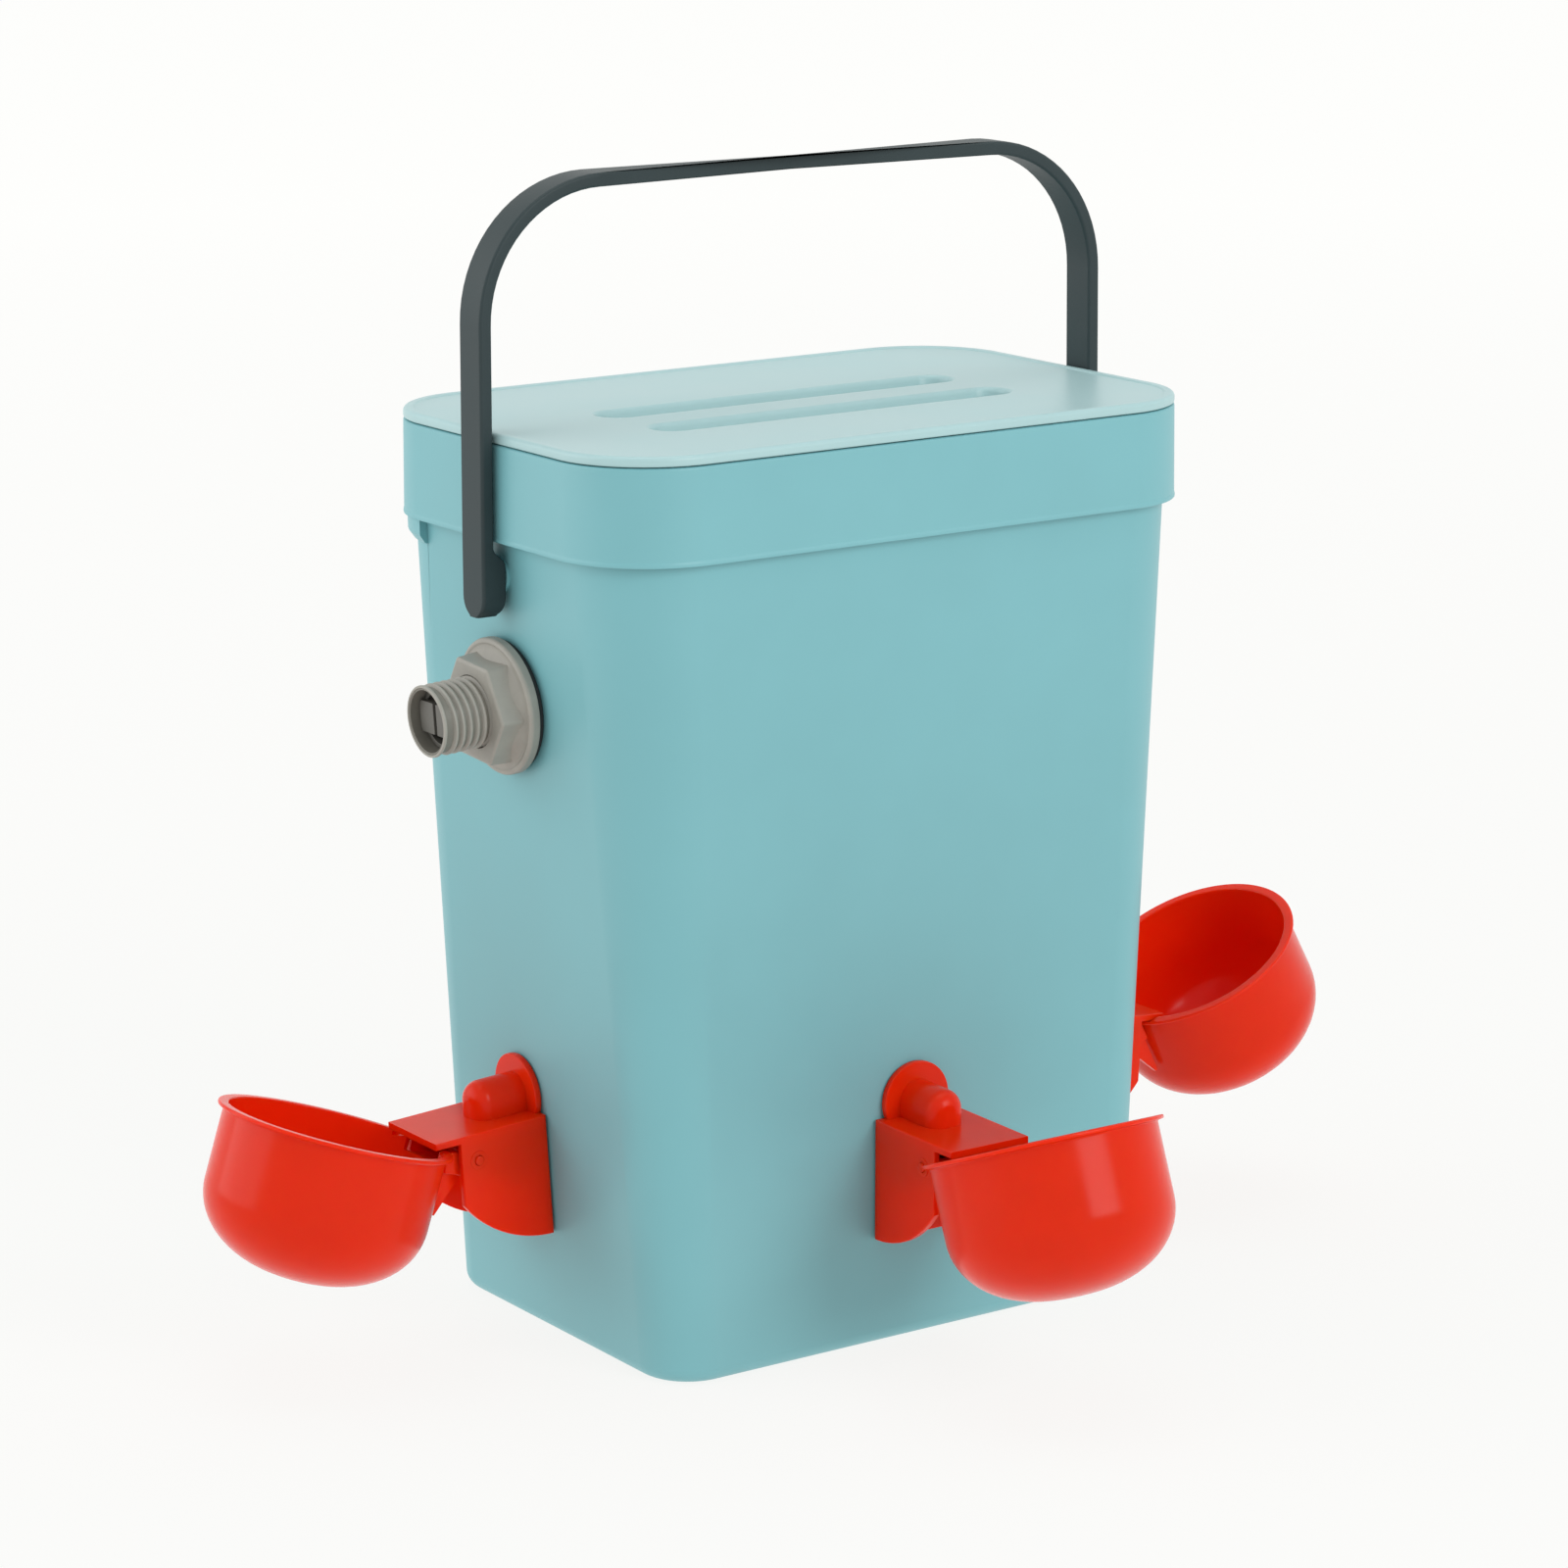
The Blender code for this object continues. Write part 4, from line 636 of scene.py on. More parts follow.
def finish_named(name):
    """The material of a slot or shade, in the colour that the panel gives."""
    colours = bpy.context.scene.bucket_finishes
    if name == "stainless_steel":
        return drawn_steel("drawn_stainless_wire", colours.steel)
    look = dict(PLASTICS[name])
    return moulded_plastic(tint=getattr(colours, look.pop("tint")), **look)


def add_piece(name, bm, finish, body, nodes=(), smooth=35.0):
    """Make an object of a shape and finish, and let it ride on its body, where it has one.

    The finish is the name of one of the plastics, or of the steel."""
    mesh = bpy.data.meshes.new(name)
    bm.to_mesh(mesh)
    bm.free()
    mesh.shade_smooth()
    mesh.set_sharp_from_angle(angle=math.radians(smooth))
    mesh.materials.append(finish_named(finish))
    obj = bpy.data.objects.new(name, mesh)
    bpy.context.scene.collection.objects.link(obj)
    normals = obj.modifiers.new("Weighted Normal", "WEIGHTED_NORMAL")
    normals.keep_sharp = True
    normals.weight = 80
    if body:
        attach(obj, body)
    if nodes:
        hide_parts(*nodes)
    return obj


# Pieces

class BUCKET_OT_body(bpy.types.Operator):
    """Tapered bucket with its collar, hanging ledge and the bosses for the handle"""
    bl_idname = "bucket.body"
    bl_label = "Bucket"

    def execute(self, context):
        s = context.scene.bucket_sizes
        handle = context.scene.handle_sizes
        edge, soft, bottom = s.base_edge, s.rim_edge, s.collar_bottom
        inner_edge = edge - s.wall / 2
        web = s.seat - s.rim
        bead_top, bead_end = 1.0 * MM, 1.6 * MM
        collar = [(-s.collar_wall, bottom + 2 * soft), (-s.collar_wall, bottom), (s.bead, bottom),
                  (s.bead, bottom + bead_top), (0.0, bottom + bead_end), (0.0, s.seat - 4 * soft)]
        shell = rings(s, (
            (wall_outline, arc(-edge, edge, edge, -90, 0, 8)),
            (wall_outline, [(0.0, bottom * share) for share in (0.15, 0.4, 0.65, 0.85, 1.0)]),
            (wall_outline, [(0.0, web - soft), (soft, web)]),
            (collar_outline, [(-s.collar_wall - soft, web), (-s.collar_wall, web - soft)]),
            (collar_outline, softened(collar, 0.3 * MM)),
            (collar_outline, arc(-soft, s.seat - soft, soft, 0, 90, 5)),
            (wall_outline, arc(soft - s.wall, s.seat - soft, soft, 90, 180, 4)),
            (wall_outline, [(-s.wall, bottom * share) for share in (1.0, 0.85, 0.6, 0.35, 0.1)]),
            (wall_outline, arc(-s.wall - inner_edge, s.floor + inner_edge, inner_edge, 0, -90, 7))))

        low, high = bottom - s.ledge_drop, bottom + s.ledge_drop
        ledge = rings(s, ((wall_outline, softened([
            (-s.wall / 2, high), (s.ledge_proud, high), (s.ledge_proud, low + s.ledge_proud),
            (s.ledge_proud / 3, low), (-s.wall / 2, low)], 0.5 * MM)),), 0.0, math.pi)

        reach = handle_inside(s, handle) + handle.thickness - handle.boot - SEAT_GAP
        wall = wall_outline(s, s.pivot)[0]
        bosses = [rod(s.boss, wall - s.wall / 2, reach, peg_place(s, side), 48, 0.4 * MM) for side in (-1, 1)]
        bores = [rod(handle.peg + BORE_GAP, wall - 6 * s.wall, reach + s.wall, peg_place(s, side), 40)
                 for side in (-1, 1)]
        inlet = context.scene.inlet_sizes
        drinker = context.scene.drinker_sizes
        holes = [(inlet.thread, wall_place(s, 180, inlet.height), 56)]
        holes += [(drinker.stem, wall_place(s, azimuth, drinker.height, drinker_shift(drinker, name)), 40)
                  for name, azimuth in SIDES]
        bores += [rod(radius + BORE_GAP, -4 * s.wall, 4 * s.wall, place @ ALONG_X, segments)
                  for radius, place, segments in holes]
        add_piece("bucket_shell", combined(shell, [ledge] + bosses, bores), "teal_polypropylene", "bucket",
                  ["bucket_body"], 30.0)
        return {"FINISHED"}


class BUCKET_OT_lid(bpy.types.Operator):
    """Lid with a raised border, two finger grooves and the plug that fits the mouth"""
    bl_idname = "bucket.lid"
    bl_label = "Lid"

    def execute(self, context):
        s = context.scene.bucket_sizes
        lid = context.scene.lid_sizes
        foot = s.seat + SEAT_GAP
        top, step = lid.thickness, lid.border_step
        edge, low_edge = lid.edge, 0.7 * MM
        plug = wall_outline(s, s.seat, -s.wall - lid.plug_gap)
        inner = grown(plug, -lid.plug_wall)
        outer = collar_outline(s, s.seat)
        rows = (
            (inner, [(-0.8 * MM, 0.0), (0.0, -0.8 * MM), (0.0, -lid.plug + 0.4 * MM), (0.4 * MM, -lid.plug)]),
            (plug, [(-1.0 * MM, -lid.plug), (-0.6 * MM, -lid.plug + 0.3 * MM), (0.0, -lid.plug + 1.6 * MM),
                    (0.0, -0.5 * MM), (0.5 * MM, 0.0)]),
            (outer, [(-edge, 0.0)] + arc(-low_edge, low_edge, low_edge, -70, 0, 4)),
            (outer, arc(-edge, top - edge, edge, 0, 90, 6)),
            (outer, [(-lid.border + 0.35 * MM, top), (-lid.border, top - 0.12 * MM),
                     (-lid.border - 0.3 * MM, top - step + 0.1 * MM), (-lid.border - 0.6 * MM, top - step)]))
        plate = stacked([(grown(shape, offset), at(0, 0, foot + height))
                         for shape, points in rows for offset, height in points], s.steps)

        surface = foot + top - step
        floor = surface - lid.groove_depth
        rim, bend, wall, draft = lid.groove_rim, lid.groove_bend, lid.groove_wall, 0.6 * MM
        pocket = [(rim, surface + 2 * MM), (rim, surface + 0.02 * MM)]
        pocket += [(rim * (1 - math.sin(a)), surface - rim * (1 - math.cos(a)))
                   for a in map(math.radians, (15, 35, 55, 75, 90))]
        pocket += [(-draft - bend * (1 - math.cos(a)), floor + bend * (1 - math.sin(a)))
                   for a in map(math.radians, (0, 25, 50, 75, 90))]
        trough = [(wall, surface - 1.5 * MM), (wall - 0.9 * MM, floor - wall + 0.8 * MM),
                  (wall - 2.4 * MM, floor - wall)]
        troughs, pockets = [], []
        for side in (-1, 1):
            middle = side * (lid.ridge + lid.groove_width) / 2 - lid.forward
            for section, shapes in ((trough, troughs), (pocket, pockets)):
                stations = []
                for grow, height in section:
                    half = lid.groove_width / 2 + grow
                    shape = (lid.groove_length / 2 + grow, half, half - 0.02 * MM)
                    stations.append((shape, at(0, middle, height)))
                shapes.append(stacked(stations, 14))
        add_piece("lid_plate", combined(plate, troughs, pockets), "pale_teal_polypropylene", "lid",
                  ["lid"], 34.0)
        return {"FINISHED"}


class BUCKET_OT_handle(bpy.types.Operator):
    """Carrying handle: a strap with softened edges, thicker boots and the pegs it turns on"""
    bl_idname = "bucket.handle"
    bl_label = "Handle"

    def execute(self, context):
        s = context.scene.bucket_sizes
        h = context.scene.handle_sizes
        outer = handle_inside(s, h) + h.thickness
        half = h.width / 2
        low = half - h.below
        # From toe to bar: place beside the middle and above the pegs, half width, thickness, turn
        leg = []
        for share in (step / 8 for step in range(1, 9)):
            angle = math.radians(90) * share
            leg.append((outer, low - half * math.cos(angle), half * max(math.sin(angle), 0.42),
                        h.boot - h.toe * (1 - share) ** 2, 0.0))
        for share in (0.0, 0.25, 0.5, 0.75, 1.0):
            blend = (1 - math.cos(math.pi * share)) / 2
            leg.append((outer, h.above - h.taper * (1 - share), half,
                        h.boot + (h.thickness - h.boot) * blend, 0.0))
        for x, z in arc(0, 0, 1, 0, 90, 18):
            leg.append((outer - h.lean - h.bend + h.bend * x, h.rise - h.bend + h.bend * z, half, h.thickness,
                        math.atan2(z, x)))
        stations = []
        for side, row in ((-1, leg), (1, leg[::-1])):
            for x, z, wide, thick, angle in row:
                out = Vector((side * math.cos(angle), 0, math.sin(angle)))
                across = Vector((0, side, 0))
                middle = Vector((side * x, 0, z + s.pivot)) - out * thick / 2
                turn = Matrix((out, across, out.cross(across))).transposed().to_4x4()
                shape = (thick / 2, wide, min(h.soft, wide * 0.6))
                stations.append((shape, Matrix.Translation(middle) @ turn))
        start = outer - h.boot + 2.0 * MM
        inside = wall_outline(s, s.pivot)[0] - s.wall - 0.9 * MM
        head = h.peg + h.snap
        profile = [(0, start), (h.peg, start), (h.peg, inside), (head, inside), (head, inside - 1.2 * MM),
                   (h.peg - 1.2 * MM, inside - 3.6 * MM), (0, inside - 3.6 * MM)]
        pegs = [turned(profile, 48, peg_place(s, side), 0.3 * MM) for side in (-1, 1)]
        add_piece("handle_strap", combined(stacked(stations, 5), pegs), "dark_grey_polypropylene", "handle",
                  ["handle"], 40.0)
        return {"FINISHED"}


class BUCKET_OT_inlet(bpy.types.Operator):
    """Threaded water inlet with its nut, seal, strainer and the valve chamber inside"""
    bl_idname = "bucket.inlet"
    bl_label = "Water Inlet"

    def execute(self, context):
        s = context.scene.bucket_sizes
        w = context.scene.inlet_sizes
        v = context.scene.valve_sizes
        place = wall_place(s, 180, w.height)
        along = place @ ALONG_X
        inside = wall_inside(s, 180)
        root = w.thread - w.crest
        collar = w.reach - 0.3 * MM
        flange_back = inside - 3.0 * MM
        liner = 5.7 * MM
        stem = turned([(w.bore, collar), (root, collar), (root, inside), (w.inner_flange, inside),
                       (w.inner_flange, flange_back), (w.chamber, flange_back), (w.chamber, -w.chamber_end),
                       (liner, -w.chamber_end), (liner, -v.orifice_back), (v.orifice, -v.orifice_back),
                       (v.orifice, -9.0 * MM), (w.bore, -9.0 * MM)], 96, along, 0.25 * MM)
        # The stem gets the darker nylon: painted shade for its thread's valleys and bore, which also darkens
        # its parts inside the bucket
        add_piece("inlet_stem", combined(stem, fork_ears(v, place), fork_cuts(v, place)), "shaded_grey",
                  "bucket", ["float_valve_body"], 34.0)
        neck = root - 0.1 * MM
        rim = turned([(w.mouth, w.reach), (w.thread - 0.2 * MM, w.reach), (w.thread, w.reach - 0.3 * MM),
                      (w.thread, w.reach - 0.9 * MM), (neck, w.reach - 1.5 * MM), (neck, w.reach - 0.6 * MM)],
                     96, along, 0.12 * MM)
        add_piece("inlet_mouth_rim", rim, "warm_grey_plastic", "bucket", smooth=50.0)
        add_piece("inlet_thread", screw_thread(w, root, along), "warm_grey_plastic", "bucket", smooth=50.0)

        low = SEAT_GAP + w.seal + SEAT_GAP
        top = low + w.flange_thickness
        high = top + w.nut_length
        flange = turned([(0, low), (w.flange, low), (w.flange, top - 1.0 * MM),
                         (w.flange - 0.5 * MM, top - 0.3 * MM), (w.flange - 1.4 * MM, top),
                         (w.flange - 2.0 * MM, top - 0.35 * MM), (w.nut, top - 0.2 * MM),
                         (w.nut * 0.9, top + 1.0 * MM), (w.nut * 0.84, top + 2.0 * MM), (0, top + 2.0 * MM)],
                        96, along, 0.35 * MM)
        hexagon = tapered_hexagon([(w.nut, low + 1.0 * MM), (w.nut * 0.99, top),
                                   (w.nut * 0.965, high - 0.6 * MM), (w.nut * 0.935, high)],
                                  along @ Matrix.Rotation(w.nut_turn, 4, "Z"))
        bore = rod(w.thread + 0.25 * MM, 0, 2 * high, along, 64)
        add_piece("inlet_hex_nut", combined(flange, [hexagon], [bore]), "warm_grey_plastic", "bucket",
                  ["inlet_lock_nut"], 30.0)
        seal = ring(w.thread + 0.3 * MM, w.seal_radius, SEAT_GAP, SEAT_GAP + w.seal, along, 80, 0.4 * MM)
        add_piece("inlet_washer", seal, "black_rubber", "bucket", ["inlet_seal"])
        # The strainer gets the darkest nylon: painted shade for where it lies recessed in the mouth
        add_piece("inlet_filter", strainer(w, along, place), "painted_shade_strainer_grey", "bucket", ["inlet_strainer"])
        return {"FINISHED"}


def screw_thread(w, root, along):
    """Ridge that winds round the stem, with its ends short of the nut and the mouth."""
    last_crest = w.reach - 2.6 * MM
    turns = int((last_crest - 2.4 * MM) / w.pitch)
    first_crest = last_crest - turns * w.pitch
    sunk = root - 0.4 * MM
    half_section = [(sunk, 0.38 * w.pitch), (root, 0.34 * w.pitch), (w.thread, 0.13 * w.pitch)]
    section = half_section + [(radius, -height) for radius, height in half_section[::-1]]
    bm = bmesh.new()
    face = bm.faces.new([bm.verts.new((radius, 0, height + first_crest))
                         for radius, height in softened(section, 0.4 * MM)])
    steps = 56
    bmesh.ops.spin(bm, geom=[face], cent=(0, 0, 0), axis=(0, 0, 1), angle=math.tau * turns,
                   steps=steps * turns, dvec=(0, 0, w.pitch / steps), use_merge=False, use_duplicate=False)
    bmesh.ops.transform(bm, matrix=along, verts=bm.verts)
    return closed_solid(bm)


def tapered_hexagon(levels, place):
    """Hexagon drawn through (radius, height) levels, with soft corners and a soft top."""
    bm = bmesh.new()
    bmesh.ops.create_circle(bm, cap_ends=True, segments=6, radius=levels[0][0])
    face = bm.faces[:][0]
    for index, (radius, height) in enumerate(levels):
        if index:
            below = face
            drawn = bmesh.ops.extrude_face_region(bm, geom=[below])["geom"]
            face = next(item for item in drawn if isinstance(item, bmesh.types.BMFace))
            bmesh.ops.delete(bm, geom=[below], context="FACES_ONLY")
        for vert in face.verts:
            vert.co = Vector((vert.co.x, vert.co.y, 0)).normalized() * radius + Vector((0, 0, height))
    bmesh.ops.holes_fill(bm, edges=[edge for edge in bm.edges if edge.is_boundary], sides=0)
    high = levels[-1][1]
    corners = [edge for edge in bm.edges if abs(edge.verts[0].co.z - edge.verts[1].co.z) > 0.2 * MM
               or min(vert.co.z for vert in edge.verts) > high - 0.1 * MM]
    round_off(bm, corners, 0.6 * MM, 4)
    bmesh.ops.transform(bm, matrix=place, verts=bm.verts)
    return closed_solid(bm)


def strainer(w, along, place):
    """Ring in the mouth with two upright panels and a slot between them."""
    outer = w.bore - 0.3 * MM
    front = w.reach - w.strainer_depth
    back = front - w.strainer_length
    high = w.panel_height / 2
    panels = []
    for side in (-1, 1):
        faces = sorted((side * w.slot / 2, side * (outer - 0.7 * MM)))
        panel = block((front - 2.8 * MM, faces[0], -high), (front + w.panel_proud, faces[1], high), place,
                      0.3 * MM)
        edge = rod(outer - 0.3 * MM, back, front + 2 * w.panel_proud, along, 64)
        panels.append(combined(panel, shared=[edge]))
    return combined(ring(outer - 1.4 * MM, outer, back, front, along, 64, 0.2 * MM), panels)


def fork_ears(v, place):
    """The two ears inside the bucket that hold the float's pin."""
    root, high = -26.0 * MM, 3.0 * MM
    points = [(root, high), (-34.0 * MM, high)]
    points += arc(-v.pivot_back, -v.pivot_drop, 5.0 * MM, 150, 300, 16)
    points += [(-31.0 * MM, -high), (root, -high)]
    ears = []
    for side in (-1, 1):
        faces = sorted((side * v.ear_inside, side * v.ear_outside))
        ears.append(prism(points, *faces, place, 0.25 * MM, 2))
    return ears


def fork_cuts(v, place):
    """The pin's hole and the outlet under the chamber."""
    pin = rod(v.pin + 0.2 * MM, -20 * MM, 20 * MM, lever_pivot(v, place) @ ALONG_Y, 32)
    outlet = block((-25.5 * MM, -3.0 * MM, -19.0 * MM), (-17.5 * MM, 3.0 * MM, -2.85 * MM), place)
    return [pin, outlet]


def lever_pivot(v, place):
    """Where the float's lever turns, in the inlet's frame."""
    return place @ at(-v.pivot_back, 0, -v.pivot_drop)


class BUCKET_OT_float_valve(bpy.types.Operator):
    """Piston, lever and float that shut the inlet when the bucket is full"""
    bl_idname = "bucket.float_valve"
    bl_label = "Float Valve"

    def execute(self, context):
        v = context.scene.valve_sizes
        place = wall_place(context.scene.bucket_sizes, 180, context.scene.inlet_sizes.height)
        along = place @ ALONG_X
        swing = math.radians(travel["float_swing"]["range_deg"][1] / 2)
        throw = v.pivot_drop * math.sin(swing)
        front = -(v.orifice_back + SEAT_GAP + 2 * throw)
        neck = front - v.washer_thickness - SEAT_GAP
        step = neck - v.head
        tail = -(v.pivot_back + throw - v.cam - SEAT_GAP)
        piston = turned([(0, neck), (v.piston, neck), (v.piston, step), (v.stalk, step), (v.stalk, tail),
                         (0, tail)], 56, along, 0.3 * MM)
        add_piece("inlet_piston", piston, "white_plastic", "inlet_piston", ["valve_piston"])
        washer = rod(v.washer, front - v.washer_thickness, front, along, 56, 0.3 * MM)
        add_piece("piston_face", washer, "black_rubber", "inlet_piston", ["piston_washer"])
        hinge = lever_pivot(v, place)
        pin = rod(v.pin, -v.ear_outside, v.ear_outside, hinge @ ALONG_Y, 32, 0.25 * MM)
        add_piece("float_hinge_pin", pin, "stainless_steel", "bucket", ["float_pin"])

        lever = hinge @ Matrix.Rotation(-swing, 4, "Y")
        droop = lever @ Matrix.Rotation(-v.droop, 4, "Y")
        hub_end = v.ear_inside - 0.3 * MM
        hub = rod(v.hub, -hub_end, hub_end, lever @ ALONG_Y, 48, 0.3 * MM)
        opening = math.degrees(math.acos(v.cam_neck / v.cam))
        cam = prism([(-v.cam_neck, 0), (v.cam_neck, 0)]
                    + arc(0, v.pivot_drop, v.cam, -opening, 180 + opening, 24),
                    -v.cam_width / 2, v.cam_width / 2, lever, 0.25 * MM, 2)
        beam = block((-v.beam_length, -v.beam, -v.beam), (-v.pin, v.beam, v.beam), droop, 0.4 * MM)
        hole = rod(v.pin + 0.2 * MM, -12 * MM, 12 * MM, lever @ ALONG_Y, 32)
        add_piece("float_lever", combined(hub, [cam, beam], [hole]), "white_plastic", "float_lever",
                  ["float_arm"], 32.0)
        middle = v.float_length / 2
        profile = [(0.0, 0.0)]
        for x, z in arc(0, 0, 1, -90, 90, 40)[1:-1]:
            height = middle * (1 + math.copysign(abs(z) ** 1.5, z))
            seam = 0.35 * MM if abs(height - middle) < 0.8 * MM else 0.0
            profile.append((v.float_radius * x + seam, height))
        profile.append((0.0, v.float_length))
        foot = droop @ at(10 * MM - v.beam_length, 0, 0) @ Matrix.Rotation(math.radians(-90), 4, "Y")
        room = v.beam + 0.3 * MM
        socket = block((-v.beam_length - 0.3 * MM, -room, -room), (20 * MM - v.beam_length, room, room),
                       droop)
        ball = combined(turned(profile, 72, foot), removed=[socket])
        add_piece("float_ball", ball, "white_plastic", "float_lever", ["float"], 40.0)
        return {"FINISHED"}


def bracket_shape(d):
    """Moulded bracket in its wall frame: disc, water boss, plate with two cheeks, stem and nozzle."""
    half = d.width / 2
    inner = half - d.wall
    top = -d.plate_drop
    under = top - d.plate
    gap = 0.8 * MM
    first, last = (-math.degrees(math.acos(reach / d.cheek)) for reach in (d.cheek_reach, gap))
    side = [(gap, top), (d.plate_reach, top), (d.plate_reach, under), (d.cheek_reach, under)]
    housing = prism(side + arc(0, top, d.cheek, first, last, 24), -half, half, bevel=0.45 * MM)
    hollow = block((gap + d.wall, -inner, -2 * d.cheek), (2 * d.plate_reach, inner, under), bevel=0.4 * MM)
    hinge = at(d.pin_reach, 0, -d.pin_drop) @ ALONG_Y
    eyes = rod(3.0 * MM, -half - 0.28 * MM, half + 0.28 * MM, hinge, 36, 0.2 * MM)
    knuckle_room = rod(3.6 * MM, -inner, inner, hinge, 36)
    shell = combined(housing, [eyes], [hollow, knuckle_room])

    disc = rod(d.disc, SEAT_GAP, SEAT_GAP + d.disc_thickness, ALONG_X, 80, 0.7 * MM)
    in_disc = SEAT_GAP + d.disc_thickness / 2
    foot = top - d.plate / 2
    arch = [(d.boss, foot)] + arc(0, 0, d.boss, 0, 180, 28) + [(-d.boss, foot)]
    boss = prism(arch, -d.boss_reach, -in_disc, Matrix.Rotation(math.radians(90), 4, "Z"))
    nose = [edge for edge in boss.edges if min(vert.co.x for vert in edge.verts) > d.boss_reach - 0.01 * MM
            and max(vert.co.z for vert in edge.verts) > foot + 0.01 * MM]
    round_off(boss, nose, 0.8 * d.boss, 9)
    stem = rod(d.stem, -d.stem_length, in_disc, ALONG_X, 56, 0.4 * MM)
    nozzle_place = at(d.nozzle_reach, 0, 0)
    nozzle = rod(3.2 * MM, -d.nozzle_tip, under + d.plate / 2, nozzle_place, 40, 0.3 * MM)
    gallery = rod(3.2 * MM, -2 * d.stem_length, d.nozzle_reach + 1.8 * MM, ALONG_X, 36)
    drop = rod(1.8 * MM, -2 * d.nozzle_tip, 0, nozzle_place, 28)
    pin_hole = rod(d.pin + 0.2 * MM, -d.width, d.width, hinge, 28)
    return combined(shell, [disc, boss, stem, nozzle], [gallery, drop, pin_hole])


def cup_shape(d, c, stop_swing):
    """Bowl with a rolled lip, and behind it the trough that turns on the pin."""
    lip = c.radius + c.lip
    fall = c.depth - c.straight

    def curve(radius, fall):
        points = [(radius * max(x, 0.0) ** 0.85, -c.straight - fall * z) for x, z in arc(0, 0, 1, 0, 90, 18)]
        points[-1] = (0.0, points[-1][1])
        return points

    rolled = softened([(c.radius - c.wall, -3.0 * MM), (c.radius - c.wall, 0.0), (lip, 0.0),
                       (lip, -c.lip_height), (c.radius, -c.lip_height - 0.3 * MM), (c.radius, -5.0 * MM)],
                      0.55 * MM, steps=4)
    profile = curve(c.radius - c.wall, fall - c.wall)[::-1] + rolled + curve(c.radius, fall)
    level = Matrix.Rotation(-c.closed_tilt, 4, "Y")
    bowl = turned(profile, c.segments, level @ at(c.pin_gap + c.radius + c.lip, 0, c.rim_above))

    half = c.trough_width / 2
    wall = 2.0 * MM
    floor = -c.trough_floor
    into = c.pin_gap + c.lip + c.wall / 2
    stop = 0.4 * MM
    points = [(-c.tail, floor), (into, floor), (into, c.rim_above + into * math.sin(c.closed_tilt) - stop),
              (0.0, c.rim_above + stop + d.pin), (-d.pin, c.tail_height), (-c.tail, c.tail_height)]
    trough = prism(softened(points, 0.8 * MM, True), -half, half, bevel=0.4 * MM)
    root, foot = floor + wall / 2, floor - 14 * MM
    web = [(d.pin, root), (into, root), (into, foot), (into - wall / 2, foot)]
    ribs = []
    for side in (-1, 1):
        middle = side * (half - 1.5 * wall)
        ribs.append(prism(web, middle - wall / 2, middle + wall / 2, bevel=0.3 * MM, segments=2))
    inner = half - wall
    channel = block((-c.tail + wall, -inner, floor + wall), (into + 2 * c.wall, inner, 2 * c.tail_height),
                    bevel=0.4 * MM)
    clear = d.width / 2 + stop
    relief = block((0.0, -clear, d.pin_drop - d.plate_drop - d.plate - stop),
                   (d.plate_reach - d.pin_reach + 0.6 * MM, clear, d.pin_drop),
                   Matrix.Rotation(stop_swing, 4, "Y"))
    hull = combined(bowl, [trough] + ribs, [channel, relief])
    pad_foot = pad_top(d) - c.pad_thickness - SEAT_GAP
    pedestal = rod(c.pad, root, pad_foot, at(d.nozzle_reach - d.pin_reach, 0, 0), 36, 0.2 * MM)
    pin_hole = rod(d.pin + 0.2 * MM, -c.trough_width, c.trough_width, ALONG_Y, 32)
    return combined(hull, [pedestal], [pin_hole])


def pad_top(d):
    """Height above the pin at which the pad meets the nozzle."""
    return -d.nozzle_tip + d.pin_drop - SEAT_GAP


def spring_shape(d, c, swing):
    """Coil from the plate, round the nozzle, to the floor of the tail."""
    wire = 0.45 * MM
    coil = 5.6 * MM
    turns = 3.5
    turn_back = Matrix.Rotation(-swing, 4, "Y")
    upright = Vector((0, 0, 1))
    top = Vector((d.nozzle_reach, 0, -d.plate_drop - d.plate - SEAT_GAP - wire))
    pin = Vector((d.pin_reach, 0, -d.pin_drop))
    foot = pin + turn_back @ Vector((d.nozzle_reach - d.pin_reach, 0, 2.3 * MM + wire - c.trough_floor))
    reach = (top - foot).length / 3
    after = foot + turn_back @ (upright * reach)
    before = top - upright * reach
    stations = []
    count = 84
    for share in (step / count for step in range(count + 1)):
        rest = 1 - share
        middle = (foot * rest ** 3 + after * 3 * rest ** 2 * share + before * 3 * rest * share ** 2
                  + top * share ** 3)
        angle = math.tau * turns * share
        lean = Matrix.Rotation(-swing * rest, 3, "Y")
        out = lean @ Vector((math.cos(angle), math.sin(angle), 0))
        up = lean @ upright
        turn = Matrix((out, up, out.cross(up))).transposed().to_4x4()
        stations.append(((wire, wire, wire), Matrix.Translation(middle + out * coil) @ turn))
    return stacked(stations, 3)


def hexagon_nut(radius, low, high, bore, place):
    """Small hexagon nut along local X, with soft edges."""
    bm = bmesh.new()
    bmesh.ops.create_cone(bm, cap_ends=True, segments=6, radius1=radius, radius2=radius, depth=high - low)
    bmesh.ops.transform(bm, matrix=at((low + high) / 2, 0, 0) @ ALONG_X, verts=bm.verts)
    round_off(bm, bm.edges[:], 0.6 * MM, 3)
    hole = rod(bore, low - 5 * MM, high + 5 * MM, ALONG_X, 48)
    nut = combined(closed_solid(bm), removed=[hole])
    bmesh.ops.transform(nut, matrix=place, verts=nut.verts)
    return nut


